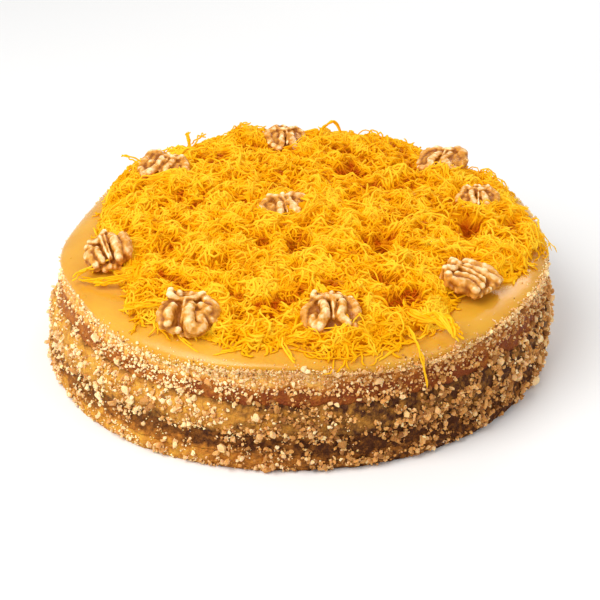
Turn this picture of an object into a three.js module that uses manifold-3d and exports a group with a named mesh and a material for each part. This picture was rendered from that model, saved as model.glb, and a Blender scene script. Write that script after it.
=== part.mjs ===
// Round walnut layer cake, millimetres, +Z up, origin at the middle of its underside.
//
// Four layers run through the whole cake: a base sponge, a lower sponge, an egg cream filling
// that bulges at the side, and an upper sponge with a rounded shoulder. A caramel egg glaze lies
// over the shoulder and ends in an uneven skirt. A heap of egg threads covers most of the top,
// and nine walnut halves are pressed into it: eight in a ring and one near the middle. Chopped
// walnut is fused to the layers that it sticks to.

import * as THREE from 'three';
import { mergeVertices } from 'three/addons/utils/BufferGeometryUtils.js';
import Module from 'manifold-3d';

const wasm = await Module();
wasm.setup();

// ---------------------------------------------------------------- driving dimensions, mm
const FOOT_RADIUS = 131;          // the widest part of the side, just above the underside
const FOOT_UNDERCUT = 2.5;        // how far the bottom edge draws in
const SIDE_TAPER = 7.5;           // how much narrower the side is at the glaze skirt
const LEAN = 2.4;                 // how far the top sits towards +X of the foot
const SIDE_WAVES = [[2, 0.5, 2.1], [3, 0.8, 0.7], [5, 0.4, 4.0]];   // order, mm, phase
const SIDE_LOBES = [[162, -6.5, 26], [-170, 2, 14]];   // angle in degrees, mm, width in degrees
const FOOT_LOBES = [[-142, 3.5, 30]];                  // swells only low down

const BASE_SPONGE_TOP = 9;
const LOWER_SPONGE_TOP = 18;
const FILLING_TOP = 34;
const SPONGE_TOP = 53.3;          // top of the upper sponge, under the glaze
const SEAM_WAVES = [[2, 0.7, 1.0], [3, 0.6, 3.6], [5, 0.5, 0.3], [7, 0.3, 5.0]];
const FILLING_BULGE = 1.6;        // the egg cream stands proud of the sponge
const SPONGE_BULGE = -0.6;        // and the sponge is hollow between its edges
const BASE_BULGE = 0.5;

const SKIRT_HEIGHT = 49.6;        // mean height of the glaze's lower edge
const SKIRT_WAVES = [[6, 2.2, 3.46], [3, 0.6, 1.9]];
const SHOULDER_WIDTH = 13;        // how far in from the side the top starts to round over
const SHOULDER_TURNS = [0, 0.28, 0.62, 1];   // facets of the shoulder, as shares of its turn
const GLAZE_THICKNESS = 2.6;
const SKIRT_THICKNESS = 1.1;

const GAP = 0.3;                  // between pieces that touch
const SHOULDER_GAP = 0.45;        // and between the wavy side of the sponge and the glaze's skirt
const ROUND_STEPS = 60;           // facets round the cake

const HEAP_RADIUS = 108;          // mean reach of the bed of egg threads
const HEAP_HEIGHT = 11.5;         // mean depth of the bed over the glaze
const HEAP_LOBES = [              // angle in degrees, extra reach in mm, width in degrees
  [-134, 9, 9], [-120, 10, 10], [-152, -14, 13], [-101, 6, 8], [-82, 9, 12], [-66, 8, 9],
  [-41, -11, 10], [-6, 15, 17], [24, 8, 13], [60, 6, 20], [108, 6, 17], [144, 3, 12],
  [-179, -9, 10],
];
const HEAP_BUMPS = [[7, 2.3, 0.7], [3.7, 1.3, 2.9]];   // ripple scale, mm, phase
const HEAP_HOLES = [              // x, y, radius: where the glaze shows through the threads
  [41, -32, 8.5], [-1, -31, 5], [86, -14, 5.5], [75, -72, 6],
];
const THREAD_WIDTH = 1.3;
const ARCH = [[11, 90, 60], [12, 92, 70], [17, 92, 75.5], [22, 93, 72], [24, 92, 60]];
const STUB = [[-61, 79, 60], [-62, 80, 69], [-63, 82, 73], [-61, 83, 76]];
const ROPE = [[50, -94, 60], [56, -98, 63.5], [63, -98, 65.5], [69, -103, 63], [71.5, -108, 59.2]];
const HANGING = [                 // angle in degrees, mm out from the side, height
  [-64.5, -14, 62], [-64.5, -8, 60.5], [-64.8, -0.5, 58.2], [-64.2, 2.9, 51], [-63.6, 2.4, 43], [-63, 2.6, 33],
];
const STRAYS = [                  // angle in degrees, how far out it lies, sweep in degrees
  [-168, 112, 14], [-150, 112, -14], [-124, 121, 12], [-100, 121, -9], [-95, 121, 4],
  [-78, 120, 5], [146, 116, -8],
];
const CURLS = 10;

// walnut halves, inner side up: lift over the glaze, width across the groove, length along it,
// and in degrees the way the groove runs, the lean of its far end and the roll across it
const WALNUTS = [
  { x: -8, y: 87, lift: 6.0, width: 25, length: 26, height: 13, turn: 96, lean: 14, roll: 6 },
  { x: -74, y: 49, lift: 5.0, width: 29, length: 27, height: 13, turn: 72, lean: 12, roll: 8 },
  { x: -93, y: -36, lift: 0.8, width: 25, length: 28, height: 13, turn: 106, lean: 6, roll: -8 },
  { x: -51, y: -96, lift: 1.6, width: 31, length: 28, height: 13.5, turn: 92, lean: 14, roll: 6 },
  { x: 14, y: -99, lift: 2.2, width: 29, length: 27, height: 13.5, turn: 90, lean: 14, roll: -4 },
  { x: 82, y: -64, lift: 1.2, width: 26, length: 33, height: 12.5, turn: 145, lean: 4, roll: 10 },
  { x: 92, y: 14, lift: 5.0, width: 25, length: 24, height: 12.5, turn: 88, lean: 16, roll: 0 },
  { x: 77, y: 59, lift: 6.0, width: 29, length: 26, height: 13, turn: 66, lean: 12, roll: -8 },
  { x: -7, y: 3, lift: 4.6, width: 30, length: 26, height: 12.5, turn: 104, lean: 8, roll: 0 },
];
// each half's lobes: middle across, along and up, half sizes in the same order, twist in degrees
// and how finely it is faceted
const KERNEL_LOBES = [
  [0, 0, -0.24, 0.90, 0.92, 0.28, 0, 0],         // outer side, which lies down in the threads
  [-0.60, -0.04, 0.0, 0.36, 0.80, 0.44, 8, 1],   // outer lobes
  [0.60, 0.02, 0.02, 0.36, 0.78, 0.45, -8, 1],
  [-0.28, -0.36, 0.08, 0.19, 0.56, 0.38, -8, 0], // inner lobes beside the groove
  [0.30, -0.32, 0.10, 0.20, 0.56, 0.39, 8, 0],
  [0.0, 0.05, 0.05, 0.10, 0.76, 0.30, 0, 0],     // the thin wall left standing in the groove
  [0.0, 0.62, 0.24, 0.48, 0.15, 0.27, 6, 0],     // the bridge that joins both sides at one end
];
const POCKET_SWELL = 1.2;         // a pocket in the threads, against the half that fills it

// chopped walnut on each layer: how many pieces, their smallest and largest size
const CRUMBS = {
  base_sponge: [13, 3.2, 4.8],
  lower_sponge: [11, 3.0, 4.2],
  egg_cream_filling: [20, 3.4, 5.4],
  upper_sponge: [11, 2.8, 4.0],
};
const FRONT_ANGLE = -50;          // degrees: the side where the chopped walnut lies thickest

const COLOURS = {
  base_sponge: 0xd9a24a,
  lower_sponge: 0x8a4a1e,
  egg_cream_filling: 0xe0ae4e,
  upper_sponge: 0xa55a26,
  egg_glaze: 0xeaa83a,
  egg_threads: 0xffb81a,
  walnut: 0xc08a50,
};

// ---------------------------------------------------------------- numbers and curves
function randomDraws(seed) {
  let state = seed;
  return (low = 0, high = 1) => {
    state = (state * 1664525 + 1013904223) % 4294967296;
    return low + (high - low) * (state / 4294967296);
  };
}

function waves(list, angle) {
  return list.reduce((sum, [order, size, phase]) => sum + size * Math.cos(order * angle + phase), 0);
}

// smooth swells and hollows at set angles round the cake
function lobes(list, angle) {
  const degrees = THREE.MathUtils.radToDeg(angle);
  return list.reduce((sum, [middle, size, width]) => {
    const away = THREE.MathUtils.euclideanModulo(degrees - middle + 180, 360) - 180;
    return sum + size * Math.exp(-((away / width) ** 2));
  }, 0);
}

// uneven ground: a few crossing ripples, about -1 to 1
function ripples(x, y, scale, phase) {
  const [a, b] = [x / scale, y / scale];
  return (Math.sin(a + 0.6 * Math.sin(b + phase)) + Math.sin(0.8 * b - 0.5 * a + 2.1 * phase)
    + Math.sin(0.7 * a + 1.3 * b + 0.9 * Math.sin(0.6 * a + phase)) + Math.sin(1.7 * b + 0.4 * a)) / 3;
}

function sideRadius(height, angle) {
  const rise = Math.max(height, 0);
  return FOOT_RADIUS - SIDE_TAPER * (rise / SKIRT_HEIGHT) ** 1.2
    - FOOT_UNDERCUT * Math.exp(-rise / 4) + waves(SIDE_WAVES, angle) + lobes(SIDE_LOBES, angle)
    + lobes(FOOT_LOBES, angle) * Math.exp(-rise / 18)
    + LEAN * (rise / SKIRT_HEIGHT - 0.5) * Math.cos(angle);
}

function skirtHeight(angle) {
  return SKIRT_HEIGHT + waves(SKIRT_WAVES, angle);
}

// height of the seam between two layers: level inside, wavy at the side
function seamHeight(level, reach, angle) {
  return level + (level > 0 ? waves(SEAM_WAVES, angle + level / 30) * reach ** 4 : 0);
}

// a point on the shoulder of the upper sponge, or on a skin over it: 0 is the skirt, 1 the top
function shoulderPoint(angle, turn, sideOffset, topOffset) {
  const low = skirtHeight(angle);
  const middle = sideRadius(low, angle) - SHOULDER_WIDTH;
  const swing = turn * Math.PI / 2;
  return [
    middle + (SHOULDER_WIDTH + sideOffset) * Math.cos(swing),
    low + (SPONGE_TOP - low + topOffset) * Math.sin(swing),
  ];
}

// ---------------------------------------------------------------- meshes and solids
function toSolid(geometry) {
  const bare = new THREE.BufferGeometry();
  bare.setAttribute('position', geometry.getAttribute('position'));
  if (geometry.index) bare.setIndex(geometry.index);
  const merged = mergeVertices(bare, 1e-4);
  const corners = merged.index.array;
  const faces = [];
  for (let i = 0; i < corners.length; i += 3) {
    const [a, b, c] = corners.slice(i, i + 3);
    if (a !== b && b !== c && c !== a) faces.push(a, b, c);
  }
  return new wasm.Manifold(new wasm.Mesh({
    numProp: 3,
    vertProperties: new Float32Array(merged.getAttribute('position').array),
    triVerts: new Uint32Array(faces),
  }));
}

function toGeometry(solid) {
  const mesh = solid.getMesh();
  const geometry = new THREE.BufferGeometry();
  geometry.setAttribute('position', new THREE.BufferAttribute(new Float32Array(mesh.vertProperties), 3));
  geometry.setIndex(new THREE.BufferAttribute(new Uint32Array(mesh.triVerts), 1));
  geometry.computeVertexNormals();
  return geometry;
}

function largestPiece(solid) {
  return solid.decompose().reduce((best, next) => (next.volume() > best.volume() ? next : best));
}

// joins small pieces to a body one at a time, so that any that would seal a hollow is left off
function fuse(body, pieces) {
  return pieces.reduce((joined, piece) => {
    const next = largestPiece(joined.add(piece));
    return next.genus() <= 2 + joined.genus() ? next : joined;
  }, body);
}

// a body of revolution whose profile (reach, rise) is then mapped by place(reach, angle, rise)
function turned(profile, place) {
  const points = profile.map(([reach, rise]) => new THREE.Vector2(reach, rise));
  const geometry = new THREE.LatheGeometry(points, ROUND_STEPS);
  geometry.rotateX(Math.PI / 2);
  const spots = geometry.getAttribute('position');
  for (let i = 0; i < spots.count; i += 1) {
    const [x, y, rise] = [spots.getX(i), spots.getY(i), spots.getZ(i)];
    const angle = Math.atan2(y, x);
    const [radius, height] = place(Math.hypot(x, y), angle, rise);
    spots.setXYZ(i, radius * Math.cos(angle), radius * Math.sin(angle), height);
  }
  return toSolid(geometry);
}

// ---------------------------------------------------------------- layers
function layerRadius(bulge, low, high, height, angle) {
  const share = THREE.MathUtils.clamp((height - low) / (high - low), 0, 1);
  return sideRadius(height, angle) + bulge * Math.sin(Math.PI * share);
}

function layer(low, high, bulge) {
  const profile = [[0, 0], [1, 0], [1, 0.33], [1, 0.67], [1, 1], [0, 1]];
  return turned(profile, (reach, angle, rise) => {
    const floor = seamHeight(low, reach, angle) + (low > 0 ? GAP : 0);
    const roof = seamHeight(high, reach, angle);
    const height = floor + (roof - floor) * rise;
    const edge = rise > 0 && rise < 1 ? layerRadius(bulge, low, high, height, angle) : sideRadius(height, angle);
    return [reach * edge, height];
  });
}

function upperSponge() {
  const profile = [[0, 0], [1, 0], [1, 0.5], [1, 1]]
    .concat(SHOULDER_TURNS.slice(1).map((turn) => [1, 1 + turn]), [[0, 2]]);
  return turned(profile, (reach, angle, rise) => {
    if (rise > 1) {
      const [radius, height] = shoulderPoint(angle, rise - 1, 0, 0);
      return [radius * reach, height];
    }
    const floor = seamHeight(FILLING_TOP, reach, angle) + GAP;
    const height = floor + (skirtHeight(angle) - floor) * rise;
    const bulge = rise > 0 && rise < 1 ? SPONGE_BULGE : 0;
    return [reach * (sideRadius(height, angle) + bulge), height];
  });
}

function glaze() {
  const inner = SHOULDER_TURNS.map((turn) => [1, turn]).reverse();
  const outer = SHOULDER_TURNS.map((turn) => [1, 3 - turn]);
  const lip = [1, 3.1];
  const profile = [[0, 1], ...inner, lip, ...outer, [0, 2]];
  return turned(profile, (reach, angle, rise) => {
    if (rise > 3) {
      const [radius, height] = shoulderPoint(angle, 0, SHOULDER_GAP + SKIRT_THICKNESS / 2, 0);
      return [radius, height - 0.7];
    }
    const outside = rise >= 2;
    const side = SHOULDER_GAP + (outside ? SKIRT_THICKNESS : 0);
    const top = GAP + (outside ? GLAZE_THICKNESS : 0);
    const [radius, height] = shoulderPoint(angle, outside ? 3 - rise : rise, side, top);
    return [radius * reach, height];
  });
}

// ---------------------------------------------------------------- chopped walnut on the side
function crumb(draw, size) {
  const geometry = new THREE.IcosahedronGeometry(size / 2, 0);
  const spots = mergeVertices(new THREE.BufferGeometry()
    .setAttribute('position', geometry.getAttribute('position')));
  const corners = spots.getAttribute('position');
  const stretch = [draw(0.75, 1.15), draw(0.75, 1.15), draw(0.6, 1)];
  for (let i = 0; i < corners.count; i += 1) {
    const swell = draw(0.78, 1.16);
    corners.setXYZ(i, corners.getX(i) * swell * stretch[0], corners.getY(i) * swell * stretch[1],
      corners.getZ(i) * swell * stretch[2]);
  }
  spots.rotateX(draw(0, 6.3));
  spots.rotateZ(draw(0, 6.3));
  return spots;
}

// seeded: angles follow the golden ratio so they spread evenly, and more fall on the front
function crumbsOn(name, seed, low, high, bulge) {
  const draw = randomDraws(seed);
  const [count, smallest, largest] = CRUMBS[name];
  const golden = 0.6180339887;
  return Array.from({ length: count }, (_, i) => {
    const size = largest + (smallest - largest) * (i / count);
    const even = ((i * golden + seed / 7) % 1) * 2 * Math.PI;
    const front = THREE.MathUtils.degToRad(FRONT_ANGLE);
    const angle = even - 0.45 * Math.sin(even - front);
    const room = size * 0.72 + 1.3;
    const height = draw(low + room, Math.max(low + room, high - room));
    const radius = layerRadius(bulge, low, high, height, angle) + size * 0.12;
    const piece = crumb(draw, size);
    piece.translate(radius * Math.cos(angle), radius * Math.sin(angle), height);
    return toSolid(piece);
  });
}

// ---------------------------------------------------------------- walnut halves
function placeOnTop(geometry, walnut) {
  const { x, y, lift, height, turn, lean, roll } = walnut;
  geometry.rotateX(THREE.MathUtils.degToRad(lean));
  geometry.rotateY(THREE.MathUtils.degToRad(roll));
  geometry.rotateZ(THREE.MathUtils.degToRad(turn - 90));
  return geometry.translate(x, y, glazeTop() + lift + height / 2);
}

function glazeTop() {
  return SPONGE_TOP + GAP + GLAZE_THICKNESS;
}

// one rounded lobe: its centre and half sizes are shares of the kernel's own
function lobe([across, along, up, halfAcross, halfAlong, halfUp, twist, facets], walnut, draw) {
  const swell = draw(0.9, 1.06);
  const shift = draw(-0.05, 0.05);
  const geometry = new THREE.IcosahedronGeometry(1, facets);
  geometry.scale(halfAcross * swell, halfAlong * (2 - swell), halfUp * swell);
  geometry.rotateZ(THREE.MathUtils.degToRad(twist + 90 * shift));
  geometry.translate(across, along + shift, up);
  geometry.scale(walnut.width / 2, walnut.length / 2, walnut.height);
  return toSolid(placeOnTop(geometry, walnut));
}

function walnutHalf(walnut, index) {
  const draw = randomDraws(101 + index);
  return largestPiece(KERNEL_LOBES.map((shape) => lobe(shape, walnut, draw))
    .reduce((kernel, part) => kernel.add(part)));
}

// the pocket that a walnut half presses into the threads
function walnutPocket(walnut) {
  const geometry = new THREE.IcosahedronGeometry(POCKET_SWELL, 1);
  geometry.scale(walnut.width / 2, walnut.length / 2, walnut.height * 0.6);
  return toSolid(placeOnTop(geometry, walnut));
}

// ---------------------------------------------------------------- egg threads
function heapReach(angle) {
  return HEAP_RADIUS + waves([[9, 1.4, 2.0], [14, 1.2, 0.3]], angle) + lobes(HEAP_LOBES, angle);
}

function heapDepth(x, y, reach) {
  const swell = 0.35 + 0.65 * Math.sqrt(Math.max(1 - reach ** 5, 0));
  const bumps = HEAP_BUMPS.reduce((sum, [scale, size, phase]) => (
    sum + size * ripples(x, y, scale, phase)), 0);
  return (HEAP_HEIGHT + bumps) * swell;
}

function heapCore() {
  const reaches = [1, 0.95, 0.86, 0.75, 0.63, 0.5, 0.36, 0.2];
  const profile = [[0, 0], ...reaches.map((reach) => [reach, 1]), [0, 1]];
  const floor = glazeTop() + GAP;
  return turned(profile, (reach, angle, rise) => {
    const radius = reach * heapReach(angle);
    if (rise === 0) return [radius, floor];
    const [x, y] = [radius * Math.cos(angle), radius * Math.sin(angle)];
    const depth = reach === 1 ? 1.6 + 0.6 * ripples(x, y, 5, 1) : heapDepth(x, y, reach);
    return [radius, floor + depth];
  });
}

function tube(points, width, sides, steps) {
  const section = new THREE.Shape();
  for (let i = 0; i < sides; i += 1) {
    const angle = (i / sides) * 2 * Math.PI;
    const corner = [Math.cos(angle) * width / 2, Math.sin(angle) * width / 2];
    if (i === 0) section.moveTo(...corner);
    else section.lineTo(...corner);
  }
  const path = new THREE.CatmullRomCurve3(points.map((point) => new THREE.Vector3(...point)));
  return toSolid(new THREE.ExtrudeGeometry(section, { steps, extrudePath: path }));
}

function heapSurface(x, y) {
  const angle = Math.atan2(y, x);
  return glazeTop() + GAP + heapDepth(x, y, Math.min(Math.hypot(x, y) / heapReach(angle), 1));
}

// a curl that starts in the bed, rises over it in a bow and dips back in
function curl(draw) {
  const angle = draw(0, 2 * Math.PI);
  const radius = heapReach(angle) * Math.sqrt(draw(0.12, 0.9));
  const heading = draw(0, 2 * Math.PI);
  const bend = draw(-2.4, 2.4);
  const length = draw(16, 30);
  const rise = draw(1.2, 3.4);
  const stops = 6;
  let [x, y, way] = [radius * Math.cos(angle), radius * Math.sin(angle), heading];
  return Array.from({ length: stops + 1 }, (_, i) => {
    const share = i / stops;
    const point = [x, y, heapSurface(x, y) - 1.2 + (rise + 1.4) * Math.sin(Math.PI * share)];
    way += bend / stops;
    x += length / stops * Math.cos(way);
    y += length / stops * Math.sin(way);
    return point;
  });
}

// a strand that leaves the bed and lies on the glaze, outwards
function stray(degrees, reach, sweep) {
  const start = THREE.MathUtils.degToRad(degrees);
  const level = glazeTop() + GAP + THREAD_WIDTH / 2 + 0.1;
  const inner = heapReach(start) - 8;
  return [0, 0.3, 0.6, 0.8, 1].map((share) => {
    const angle = start + THREE.MathUtils.degToRad(sweep) * share ** 2;
    const radius = inner + (reach - inner) * share;
    return [radius * Math.cos(angle), radius * Math.sin(angle), level + 3.5 * (1 - share) ** 1.5];
  });
}

// the strand that hangs over the rim and down the side
function hangingStrand() {
  return HANGING.map(([degrees, out, height]) => {
    const angle = THREE.MathUtils.degToRad(degrees);
    const radius = sideRadius(Math.min(height, SKIRT_HEIGHT), angle) + out;
    return [radius * Math.cos(angle), radius * Math.sin(angle), height];
  });
}

function heapHole([x, y, radius]) {
  const hole = new THREE.CylinderGeometry(radius * 1.25, radius * 0.8, 40, 9);
  hole.rotateX(Math.PI / 2);
  hole.translate(x, y, glazeTop() + 12);
  return toSolid(hole);
}

function eggThreads() {
  const draw = randomDraws(77);
  const core = HEAP_HOLES.reduce((left, hole) => left.subtract(heapHole(hole)), heapCore());
  const strands = [
    tube(ARCH, 2, 5, 9),
    tube(STUB, 2.6, 5, 4),
    tube(ROPE, 5, 6, 7),
    tube(hangingStrand(), THREAD_WIDTH, 5, 9),
    ...STRAYS.map((place) => tube(stray(...place), THREAD_WIDTH, 4, 6)),
    ...Array.from({ length: CURLS }, () => tube(curl(draw), draw(1.3, 2.1), 4, 7)),
  ];
  const heap = fuse(core, strands);
  return largestPiece(WALNUTS.reduce((left, walnut) => left.subtract(walnutPocket(walnut)), heap));
}

// ---------------------------------------------------------------- the cake
function piece(name, solid, colour, roughness) {
  const material = new THREE.MeshStandardMaterial({ color: colour, roughness, metalness: 0 });
  const mesh = new THREE.Mesh(toGeometry(solid), material);
  mesh.name = name;
  return mesh;
}

const group = new THREE.Group();
const layers = [
  ['base_sponge', 11, 0, BASE_SPONGE_TOP, BASE_BULGE],
  ['lower_sponge', 23, BASE_SPONGE_TOP, LOWER_SPONGE_TOP, SPONGE_BULGE],
  ['egg_cream_filling', 37, LOWER_SPONGE_TOP, FILLING_TOP, FILLING_BULGE],
  ['upper_sponge', 53, FILLING_TOP, SKIRT_HEIGHT - 4.5, SPONGE_BULGE],
];
layers.forEach(([name, seed, low, high, bulge]) => {
  const body = name === 'upper_sponge' ? upperSponge() : layer(low, high, bulge);
  group.add(piece(name, fuse(body, crumbsOn(name, seed, low, high, bulge)), COLOURS[name], 0.85));
});
group.add(piece('egg_glaze', glaze(), COLOURS.egg_glaze, 0.35));
group.add(piece('egg_threads', eggThreads(), COLOURS.egg_threads, 0.5));
WALNUTS.forEach((walnut, i) => {
  group.add(piece(`walnut_half_${i + 1}`, walnutHalf(walnut, i), COLOURS.walnut, 0.6));
});

export default group;
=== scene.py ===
import math
import bmesh
import bpy
import numpy as np
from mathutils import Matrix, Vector, noise


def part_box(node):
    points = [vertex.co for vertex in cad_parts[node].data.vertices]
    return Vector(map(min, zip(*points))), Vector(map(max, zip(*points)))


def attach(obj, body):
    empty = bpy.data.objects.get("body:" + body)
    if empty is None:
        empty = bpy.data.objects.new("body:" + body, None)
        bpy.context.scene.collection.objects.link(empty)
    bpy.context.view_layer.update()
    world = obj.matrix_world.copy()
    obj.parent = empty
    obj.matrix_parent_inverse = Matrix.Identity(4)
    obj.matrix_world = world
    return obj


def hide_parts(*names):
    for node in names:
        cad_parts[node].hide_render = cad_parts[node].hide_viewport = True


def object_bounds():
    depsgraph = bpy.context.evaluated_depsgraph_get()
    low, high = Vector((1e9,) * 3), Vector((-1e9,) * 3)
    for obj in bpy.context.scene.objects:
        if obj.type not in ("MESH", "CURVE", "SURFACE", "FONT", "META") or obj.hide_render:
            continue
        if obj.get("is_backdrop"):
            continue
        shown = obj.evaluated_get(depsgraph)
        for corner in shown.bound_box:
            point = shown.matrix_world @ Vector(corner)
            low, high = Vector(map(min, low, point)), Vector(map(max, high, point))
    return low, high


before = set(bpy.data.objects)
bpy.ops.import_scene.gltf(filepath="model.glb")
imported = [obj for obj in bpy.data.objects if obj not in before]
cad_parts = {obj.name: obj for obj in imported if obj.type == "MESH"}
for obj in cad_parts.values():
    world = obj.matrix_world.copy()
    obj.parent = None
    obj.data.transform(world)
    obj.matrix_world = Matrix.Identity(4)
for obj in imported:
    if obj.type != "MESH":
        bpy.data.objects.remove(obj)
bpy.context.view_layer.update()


# ---------------------------------------------------------------- base sponge
# The lowest layer: a thin disc of egg sponge baked in a 26 cm ring. Its side keeps the ring's
# slight taper, is brushed with egg cream, and bellies out a little above the underside.
# Shapes are worked out in millimetres, and a mesh is made in metres.
MM = 0.001
FOOT_RADIUS = 131
FOOT_UNDERCUT = 2.5               # how far the bottom edge draws in, and up to what height
UNDERCUT_HEIGHT = 4
SKIRT_HEIGHT = 49.6               # mean height of the glaze's lower edge, where the side ends
SIDE_TAPER = 7.5                  # how much narrower the side is there
TAPER_CURVE = 1.2
LEAN = 2.4                        # how far the top sits towards +X of the foot
SIDE_WAVES = [(2, 0.5, 2.1), (3, 0.8, 0.7), (5, 0.4, 4.0)]      # order, mm, phase
SIDE_SWELLS = [(162, -6.5, 26), (-170, 2, 14)]                  # degrees, mm, width in degrees
FOOT_SWELLS = [(-142, 3.5, 30)]                                 # swells only low down
FOOT_SWELL_HEIGHT = 18
SEAM_WAVES = [(2, 0.7, 1.0), (3, 0.6, 3.6), (5, 0.5, 0.3), (7, 0.3, 5.0)]
SEAM_TURN = 30                    # mm of height over which the waves shift by one radian
SEAM_TEARS = [(8, 1.3, 9), (3.4, 0.7, 10)]                      # size, mm, seed
WAVE_FALL, TEAR_FALL = 4, 12      # how fast both die away from the side towards the middle
BASE_TOP = 9
BASE_BULGE = 0.5
ROUND_STEPS = 860                 # points round the side, about a millimetre apart
SEED_STEP = 17.3


def full_turn(steps):
    return np.linspace(0, 2 * np.pi, steps, endpoint=False)


def waves(parts, angle):
    """Even ripples round the cake, in mm."""
    return sum(size * np.cos(order * angle + phase) for order, size, phase in parts)


def swells(parts, angle):
    """Single swells or dents round the cake, in mm."""
    total = np.zeros_like(angle)
    for middle, size, width in parts:
        away = (np.degrees(angle) - middle + 180) % 360 - 180
        total += size * np.exp(-(away / width) ** 2)
    return total


def side_radius(height, angle):
    """Radius of the side: tapered, leaning, drawn in at the foot and not quite round."""
    rise = np.maximum(height, 0)
    foot = np.exp(-rise / FOOT_SWELL_HEIGHT)
    return (FOOT_RADIUS - SIDE_TAPER * (rise / SKIRT_HEIGHT) ** TAPER_CURVE
            - FOOT_UNDERCUT * np.exp(-rise / UNDERCUT_HEIGHT) + waves(SIDE_WAVES, angle)
            + swells(SIDE_SWELLS, angle) + swells(FOOT_SWELLS, angle) * foot
            + LEAN * (rise / SKIRT_HEIGHT - 0.5) * np.cos(angle))


def lumps(points, size, seed):
    """Smooth unevenness of about -1 to 1 in lumps of that size."""
    spots = points / size + SEED_STEP * seed
    return np.array([noise.noise(spot) for spot in spots.tolist()])


def uneven(points, parts):
    """Lumps of several sizes together: their size in mm, how much they count, and a seed."""
    return sum(amount * lumps(points, size, seed) for size, amount, seed in parts)


def polar(radius, angle, height):
    return np.stack([radius * np.cos(angle), radius * np.sin(angle), height + 0 * angle], axis=-1)


def seam_height(level, reach, angle):
    """Height of a seam between layers, wavy and, at the side, ragged with torn crumb."""
    gentle = waves(SEAM_WAVES, angle + level / SEAM_TURN) * reach ** WAVE_FALL
    ragged = uneven(polar(FOOT_RADIUS, angle, level), SEAM_TEARS) * reach ** TEAR_FALL
    return level + (level > 0) * (gentle + ragged)


def round_about(stops, angle):
    """A value given at some angles round the cake, in degrees, and blended between them."""
    places, values = zip(*stops)
    return np.interp(np.degrees(angle) % 360, places, values, period=360)


def turned(rings):
    """A closed skin through rings of points, from the underside to the top."""
    rows, steps = rings.shape[:2]
    here = np.arange(rows * steps).reshape(rows, steps)
    after = np.roll(here, -1, axis=1)
    quads = np.stack([here[:-1], after[:-1], after[1:], here[1:]], axis=-1).reshape(-1, 4)
    low, high = rows * steps, rows * steps + 1
    ends = np.concatenate([
        np.stack([after[0], here[0], np.full(steps, low)], axis=-1),
        np.stack([here[-1], after[-1], np.full(steps, high)], axis=-1)])
    points = np.concatenate([rings.reshape(-1, 3), [rings[0].mean(axis=0)], [rings[-1].mean(axis=0)]])
    return points, [quads, ends]


def add_piece(name, points, faces, material, shade, smooth=True):
    """A mesh piece that rides on the cake; shade says how light it is at each point."""
    mesh = bpy.data.meshes.new(name)
    corners = np.concatenate([part.ravel() for part in faces]).astype(np.int32)
    sizes = np.concatenate([np.full(len(part), part.shape[1]) for part in faces])
    starts = np.concatenate([[0], np.cumsum(sizes)[:-1]]).astype(np.int32)
    mesh.vertices.add(len(points))
    mesh.vertices.foreach_set("co", (points * MM).astype(np.float32).ravel())
    mesh.loops.add(len(corners))
    mesh.loops.foreach_set("vertex_index", corners)
    mesh.polygons.add(len(sizes))
    mesh.polygons.foreach_set("loop_start", starts)
    mesh.update(calc_edges=True)
    mesh.polygons.foreach_set("use_smooth", np.full(len(sizes), smooth))
    stored = mesh.attributes.new("shade", "FLOAT", "POINT")
    stored.data.foreach_set("value", shade.astype(np.float32))
    mesh.materials.append(material)
    piece = bpy.data.objects.new(name, mesh)
    bpy.context.scene.collection.objects.link(piece)
    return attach(piece, "root")


CRUMB_LUMPS = [(4.2, 1.0, 1), (4.2 / 2.6, 0.6, 2)]              # size, share, seed
CRUMB_HEIGHTS = [0, 15, 26, 34, 38, 50]
CRUMB_DEPTHS = [1.0, 1.0, 1.2, 0.8, 0.5, 0.45]                  # mm, at those heights


def crumbly(rings):
    """Pushes the side of a layer in and out, as torn crumb is uneven."""
    points = rings.reshape(-1, 3)
    push = uneven(points, CRUMB_LUMPS) * np.interp(points[:, 2], CRUMB_HEIGHTS, CRUMB_DEPTHS)
    outward = points * [1, 1, 0] / np.maximum(np.hypot(points[:, 0], points[:, 1]), 1)[:, None]
    return (points + push[:, None] * outward).reshape(rings.shape)


def side_rings(angle, floor, roof, bulge, rows):
    """Rings of a layer's side, from the height of its floor to that of its roof."""
    side = []
    for share in np.linspace(0, 1, rows):
        height = floor + (roof - floor) * share
        radius = side_radius(height, angle) + bulge * np.sin(np.pi * share)
        side.append(polar(radius, angle, height))
    return crumbly(np.array(side))


def seam_rings(level, angle, reaches):
    """Rings of a layer's underside or upper face, at shares of the way out to its edge."""
    edge = side_radius(seam_height(level, 1, angle), angle)
    return [polar(edge * reach, angle, seam_height(level, reach, angle)) for reach in reaches]


def layer_rings(low, high, bulge, rows):
    """Rings of one layer: its underside, its side from seam to seam, and its upper face."""
    angle = full_turn(ROUND_STEPS)
    floor, roof = seam_height(low, 1, angle), seam_height(high, 1, angle)
    side = side_rings(angle, floor, roof, bulge, rows)
    side[..., 2] = np.maximum(side[..., 2], 0)
    under, over = seam_rings(low, angle, (0.5, 0.8, 0.97)), seam_rings(high, angle, (0.97, 0.8))
    return np.concatenate([under, side, over])


def shader_group(name, inputs, outputs):
    """A node group with named inputs (kind and value) and outputs, and its two end nodes."""
    group = bpy.data.node_groups.new(name, "ShaderNodeTree")
    for label, kind, value in inputs:
        group.interface.new_socket(label, in_out="INPUT", socket_type=kind).default_value = value
    for label, kind in outputs:
        group.interface.new_socket(label, in_out="OUTPUT", socket_type=kind)
    return group, group.nodes.new("NodeGroupInput"), group.nodes.new("NodeGroupOutput")


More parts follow.
